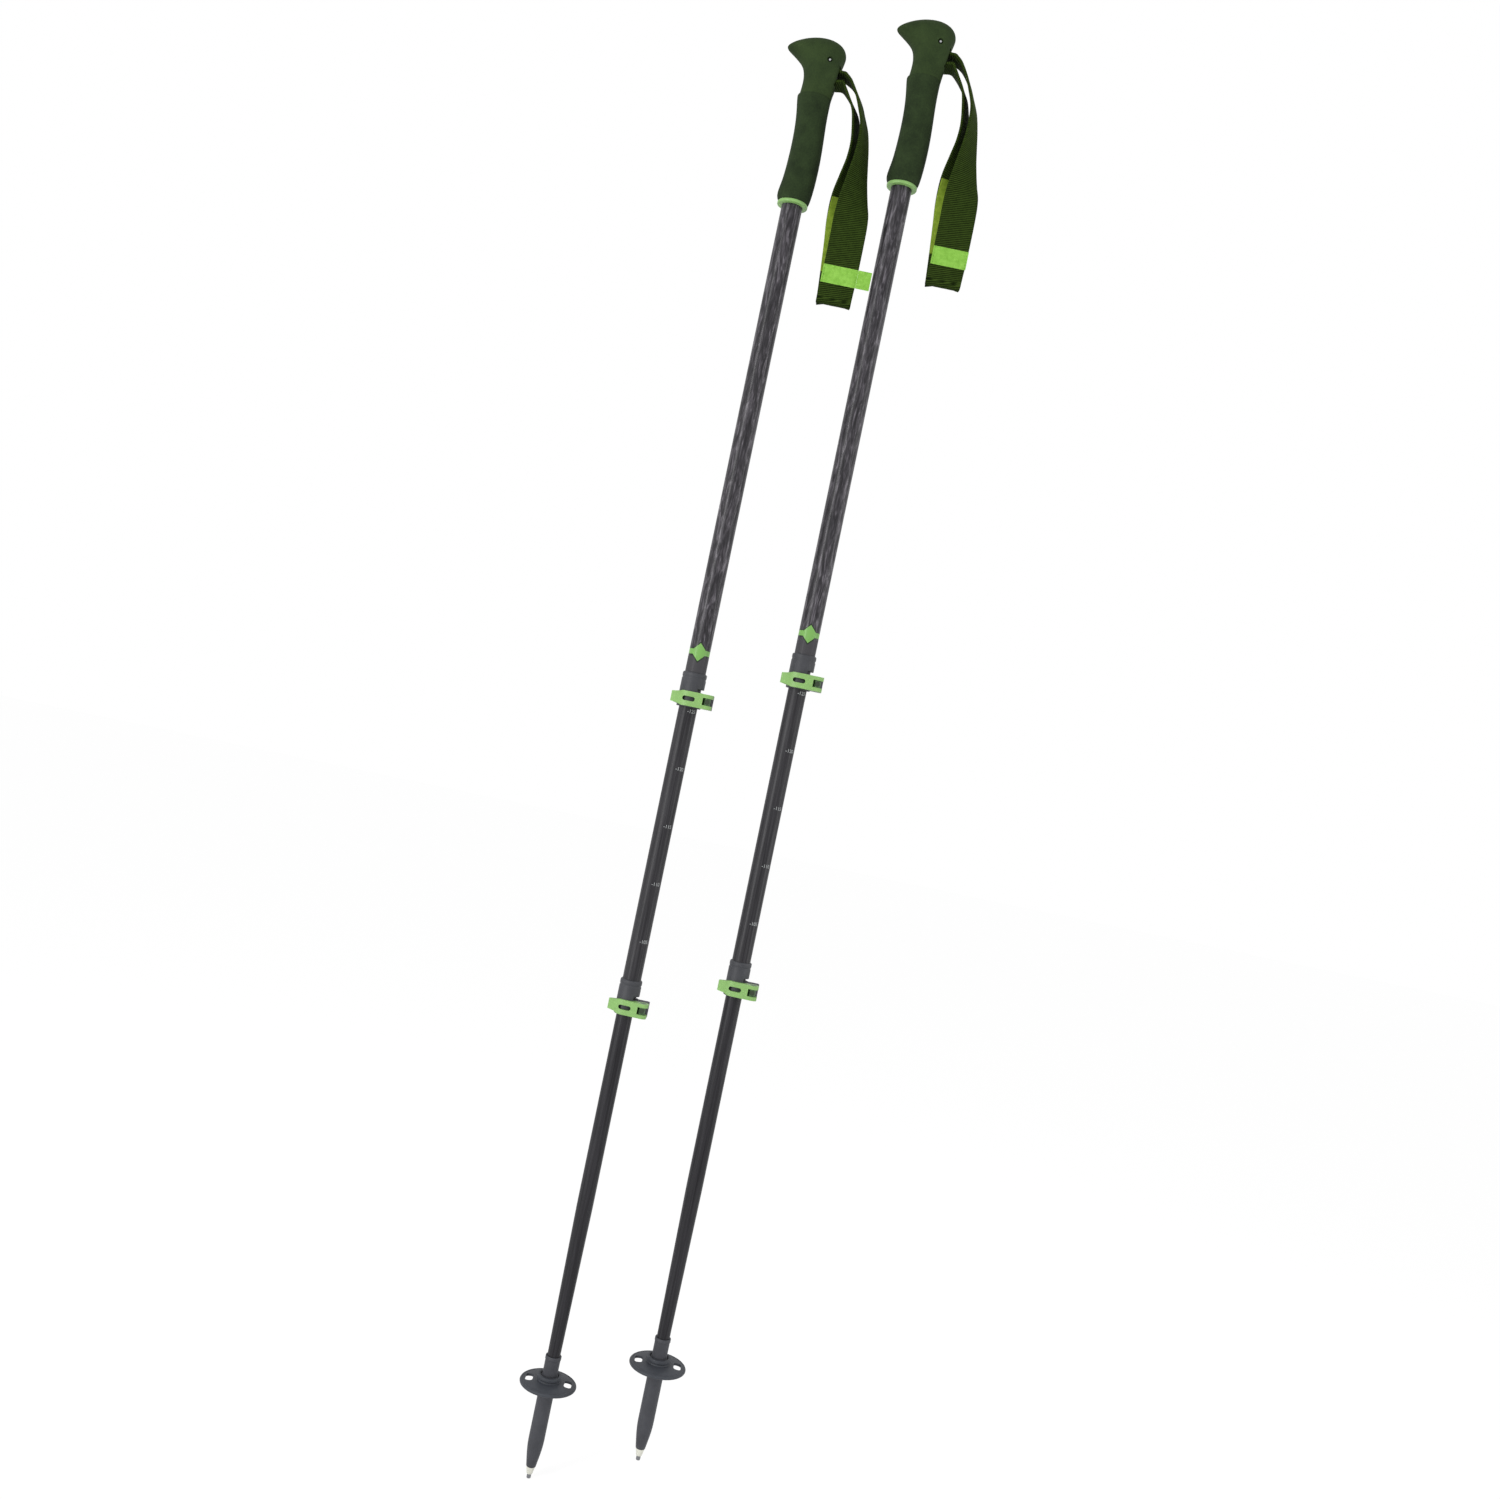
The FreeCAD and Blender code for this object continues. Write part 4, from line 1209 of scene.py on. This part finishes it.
hanging, strap_length = smooth_path(limb(front_limb) + fold() + limb(back_limb)[::-1], 0.4)
print(f"hanging webbing {strap_length:.0f} mm long in {len(hanging)} rows")

# %% Webbing from a rolled grid
SECTION_COLUMNS = 14
RIB_DEPTH = 0.06
RIB_SLANT = 0.12


def section(width, thickness):
    """The webbing's rounded section as (across, up) points, once round."""
    half, up = width / 2, thickness / 2
    inner = half - up * 0.6
    flat = [inner * (2 * i / (SECTION_COLUMNS - 1) - 1) for i in range(SECTION_COLUMNS)]
    edge = [(half - up * 0.15, 0.62), (half, 0.0), (half - up * 0.15, -0.62)]
    points = [(x, up) for x in flat]
    points += [(x, up * share) for x, share in edge]
    points += [(x, -up) for x in reversed(flat)]
    return points + [(-x, -up * share) for x, share in edge]


def webbing_strip(path, thickness, rib, lift=0.0):
    """A strip of webbing along a path, with ribs across it of the given depth."""
    around = len(section(1.0, thickness))
    bm = bmesh.new()
    along_layer = bm.verts.layers.float.new("along")
    across_layer = bm.verts.layers.float.new("across")
    made = bmesh.ops.create_grid(bm, x_segments=around, y_segments=len(path) - 1, size=0.5)
    rows = []
    travelled = 0.0
    for index, station in enumerate(path):
        before, after = path[max(index - 1, 0)], path[min(index + 1, len(path) - 1)]
        along = (after.centre - before.centre).normalized()
        angle = math.radians(station.turn)
        side = Vector((math.sin(angle), math.cos(angle), 0))
        side = (side - along * side.dot(along)).normalized()
        outward = side.cross(along)
        if index:
            travelled += (station.centre - path[index - 1].centre).length
        rows.append((station, side, outward, travelled, section(station.width, thickness)))
    for vert in made["verts"]:
        column = round((vert.co.x + 0.5) * around)
        row = round((vert.co.y + 0.5) * (len(path) - 1))
        station, side, outward, distance, points = rows[row]
        x, up = points[column % around]
        phase = 2 * math.pi * (distance + RIB_SLANT * x) / RIB
        swell = rib * (math.cos(phase) - 1) * (up / (thickness / 2))
        vert.co = station.centre + side * x + outward * (up + swell + lift)
        vert[along_layer] = (distance + RIB_SLANT * x) * MM
        vert[across_layer] = x * MM
    bmesh.ops.remove_doubles(bm, verts=bm.verts, dist=1e-4)
    ends = [edge for edge in bm.edges if edge.is_boundary]
    bmesh.ops.holes_fill(bm, edges=ends, sides=0)
    return bm


for side in SIDES:
    strap = settle(webbing_strip(hanging, STRAP_THICKNESS, RIB_DEPTH), "strap_webbing", side,
                   webbing, "webbing", ["strap_webbing"])
    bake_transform(strap)
    strap_length * MM
    strap_length * 26.0 * MM * MM
print("hung the straps")

# %% Inner webbing, round the pin
def tail_path():
    """The webbing inside the head: in over the wedge, round the pin and out below the wedge."""
    pin = middle_of("left_strap_pin") / MM
    low = span("strap_wedge")[0]
    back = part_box("left_strap_wedge")[1].x / MM
    above = head_foot + front_limb[0][2]
    below = head_foot + back_limb[0][2]
    wrap = PIN_RADIUS + 0.3 + STRAP_THICKNESS / 2
    end = MOUTH + 0.5
    points = [(end, above), (end - 1, above), (back - 1, above + 1.2)]
    for step in range(6):
        angle = math.radians(20 + step * 32)
        points.append((pin.x + wrap * math.cos(angle), pin.z + wrap * math.sin(angle)))
    points += [(pin.x - wrap + 0.6, low + 3), (pin.x - wrap + 3, low - 1.2),
               (back - 3, below - 0.9), (end - 1, below), (end, below)]
    return [Station((x, 0, z), 0.0, STRAP_WIDTH) for x, z in points]


inner, inner_length = smooth_path(tail_path(), 0.4)
for side in SIDES:
    tail = settle(webbing_strip(inner, STRAP_THICKNESS - 0.1, RIB_DEPTH), "strap_tail", side,
                  webbing, "webbing", ["strap_tail"])
    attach(tail, side + "_upper")
    inner_length * MM
print(f"inner webbing {inner_length:.0f} mm long")

# %% Lining
LINING_THICKNESS = 0.8
LINING_LIFT = -1.6
LINING_FROM = 9

inside, lining_length = smooth_path(limb(back_limb)[LINING_FROM:], 1.2)
for side in SIDES:
    lining = settle(webbing_strip(inside, LINING_THICKNESS, 0.0, lift=LINING_LIFT),
                    "strap_lining", side, lining_cloth, "lining", ["strap_lining"])
    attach(lining, side + "_strap")
    lining_length * MM
print(f"lining {lining_length:.0f} mm long")

# %% [markdown]
# ## Label and its loose end
# The label is a thin woven plate sewn across the front of the webbing. Its stitches are tiny
# rounded bars in a row near each end. On the left strap it carries on past the edge as a loose end.

# %% Labels
STITCH = 1.5
STITCH_PITCH = 2.2
STITCH_RADIUS = 0.16


def label_plate(node):
    """A thin plate of label cloth with softened edges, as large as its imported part."""
    low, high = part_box("left_" + node)
    low, high = low / MM, high / MM
    bm = bmesh.new()
    made = bmesh.ops.create_grid(bm, x_segments=40, y_segments=16, size=0.5)
    for vert in made["verts"]:
        x = low.x + (vert.co.x + 0.5) * (high.x - low.x)
        z = low.z + (vert.co.y + 0.5) * (high.z - low.z)
        pucker = 0.05 * math.sin(x * 2.1) * math.sin((z - low.z) * 0.9)
        vert.co = (x, (low.y + high.y) / 2 + pucker, z)
    bmesh.ops.solidify(bm, geom=list(bm.faces), thickness=high.y - low.y - 0.1)
    middle = (low.y + high.y) / 2 - sum(vert.co.y for vert in bm.verts) / len(bm.verts)
    bmesh.ops.translate(bm, vec=(0, middle, 0), verts=bm.verts)
    return bm


def stitch_rows(node, columns):
    """Upright rows of stitches on a plate, at shares of its width."""
    low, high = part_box("left_" + node)
    low, high = low / MM, high / MM
    bm = bmesh.new()
    count = int((high.z - low.z - 1.0) / STITCH_PITCH)
    for share in columns:
        x = low.x + share * (high.x - low.x)
        for step in range(count):
            z = low.z + (high.z - low.z) * (step + 0.5) / count
            bar = Matrix.Diagonal((STITCH_RADIUS, STITCH_RADIUS, STITCH / 2, 1))
            bmesh.ops.create_uvsphere(bm, u_segments=8, v_segments=6, radius=1.0,
                                      matrix=Matrix.Translation((x, low.y, z)) @ bar)
    return bm


def sew_on(part, side):
    plate = settle(label_plate(part), part, side, label_cloth, "label", [part], smooth=1)
    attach(plate, side + "_strap")


thread = cloth_finish("thread", paint(96, 150, 44), paint(120, 172, 60), 0.3)
for side in SIDES:
    sew_on("strap_label", side)
    seams = settle(stitch_rows("strap_label", (0.045, 0.955)), "label_stitches", side, thread,
                   "label", [])
    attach(seams, side + "_strap")
sew_on("strap_tab", "left")
print("labels sewn on")

# %% [markdown]
# ## Inner parts
# The core, the wedge and the guide bushings are already the right shape and sit inside, so their
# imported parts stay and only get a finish.

# %% Finishes for the inner parts
guide_plastic = moulded("guide_plastic", paint(70, 70, 70), 0.4)
inner_finishes = {"grip_core": core_plastic, "strap_wedge": core_plastic,
                  "middle_bushing": guide_plastic, "lower_bushing": guide_plastic}
for side in SIDES:
    for part, material in inner_finishes.items():
        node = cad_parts[side + "_" + part]
        node.data.materials.clear()
        node.data.materials.append(material)
print("finished", 2 * len(inner_finishes), "inner parts")

# %% [markdown]
# ## The room
# The floor and the world look white to the camera and in reflections, and the floor keeps the
# poles' shadow. Two tall soft lamps, one on each side, shape the tubes.

# %% Floor and world
SKY = 0.68
SEEN_SHARE = 0.8


def seen_white(tree):
    """1 for rays that come from the camera, a mirror or clear glass, and 0 for other light."""
    path = tree.nodes.new("ShaderNodeLightPath")
    camera, glossy, clear = [Wire(tree, path.outputs[name]) for name in
                             ("Is Camera Ray", "Is Glossy Ray", "Is Transmission Ray")]
    return camera.math("MAXIMUM", camera.math("MAXIMUM", camera, glossy), clear)


def white_floor():
    """A white floor whose shadow stays."""
    bm = bmesh.new()
    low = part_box("left_carbide_tip")[0].z
    bmesh.ops.create_grid(bm, x_segments=1, y_segments=1, size=8.0,
                          matrix=Matrix.Translation((0, 0, low)))
    floor = as_object(bm, "floor")
    finish = Finish("white_floor", Roughness=0.9)
    finish.surface.inputs["Base Color"].default_value = (0.9, 0.9, 0.9, 1)
    glow = finish.tree.nodes.new("ShaderNodeEmission")
    glow.inputs["Color"].default_value = (1, 1, 1, 1)
    glow.inputs["Strength"].default_value = 1.08
    mix = finish.tree.nodes.new("ShaderNodeMixShader")
    plug(finish.tree, mix.inputs[0], seen_white(finish.tree) * SEEN_SHARE)
    finish.tree.links.new(finish.surface.outputs[0], mix.inputs[1])
    finish.tree.links.new(glow.outputs[0], mix.inputs[2])
    finish.tree.links.new(mix.outputs[0], finish.tree.nodes["Material Output"].inputs["Surface"])
    floor.data.materials.append(finish.material)


def white_world():
    """A white world for the camera and a plain grey one for light."""
    world = bpy.data.worlds.new("studio")
    world.use_nodes = True
    tree = world.node_tree
    back = tree.nodes["Background"]
    back.inputs["Color"].default_value = (1, 1, 1, 1)
    seen = seen_white(tree)
    plug(tree, back.inputs["Strength"], seen * (1.0 - SKY) + SKY)
    bpy.context.scene.world = world


white_floor()
white_world()
print("floor and world are white")

# %% Lamps
def lamp(name, place, target, size, power):
    """A soft rectangular lamp that faces a point."""
    data = bpy.data.lights.new(name, "AREA")
    data.shape = "RECTANGLE"
    data.size, data.size_y = size
    data.energy = power
    holder = bpy.data.objects.new(name, data)
    place, target = Vector(place), Vector(target)
    turn = (target - place).to_track_quat("-Z", "Y").to_matrix().to_4x4()
    holder.matrix_world = Matrix.Translation(place) @ turn
    bpy.context.scene.collection.objects.link(holder)


SHAFT_MIDDLE = (AIM.x, AIM.y, AIM.z)
lamp("left_panel", (-1.1, -1.3, 0.8), SHAFT_MIDDLE, (0.35, 1.8), 20.0)
lamp("right_panel", (1.5, -0.3, 0.8), SHAFT_MIDDLE, (0.25, 1.8), 7.0)
bpy.context.scene.view_settings.view_transform = "Standard"
print(len(bpy.data.lights), "lamps")
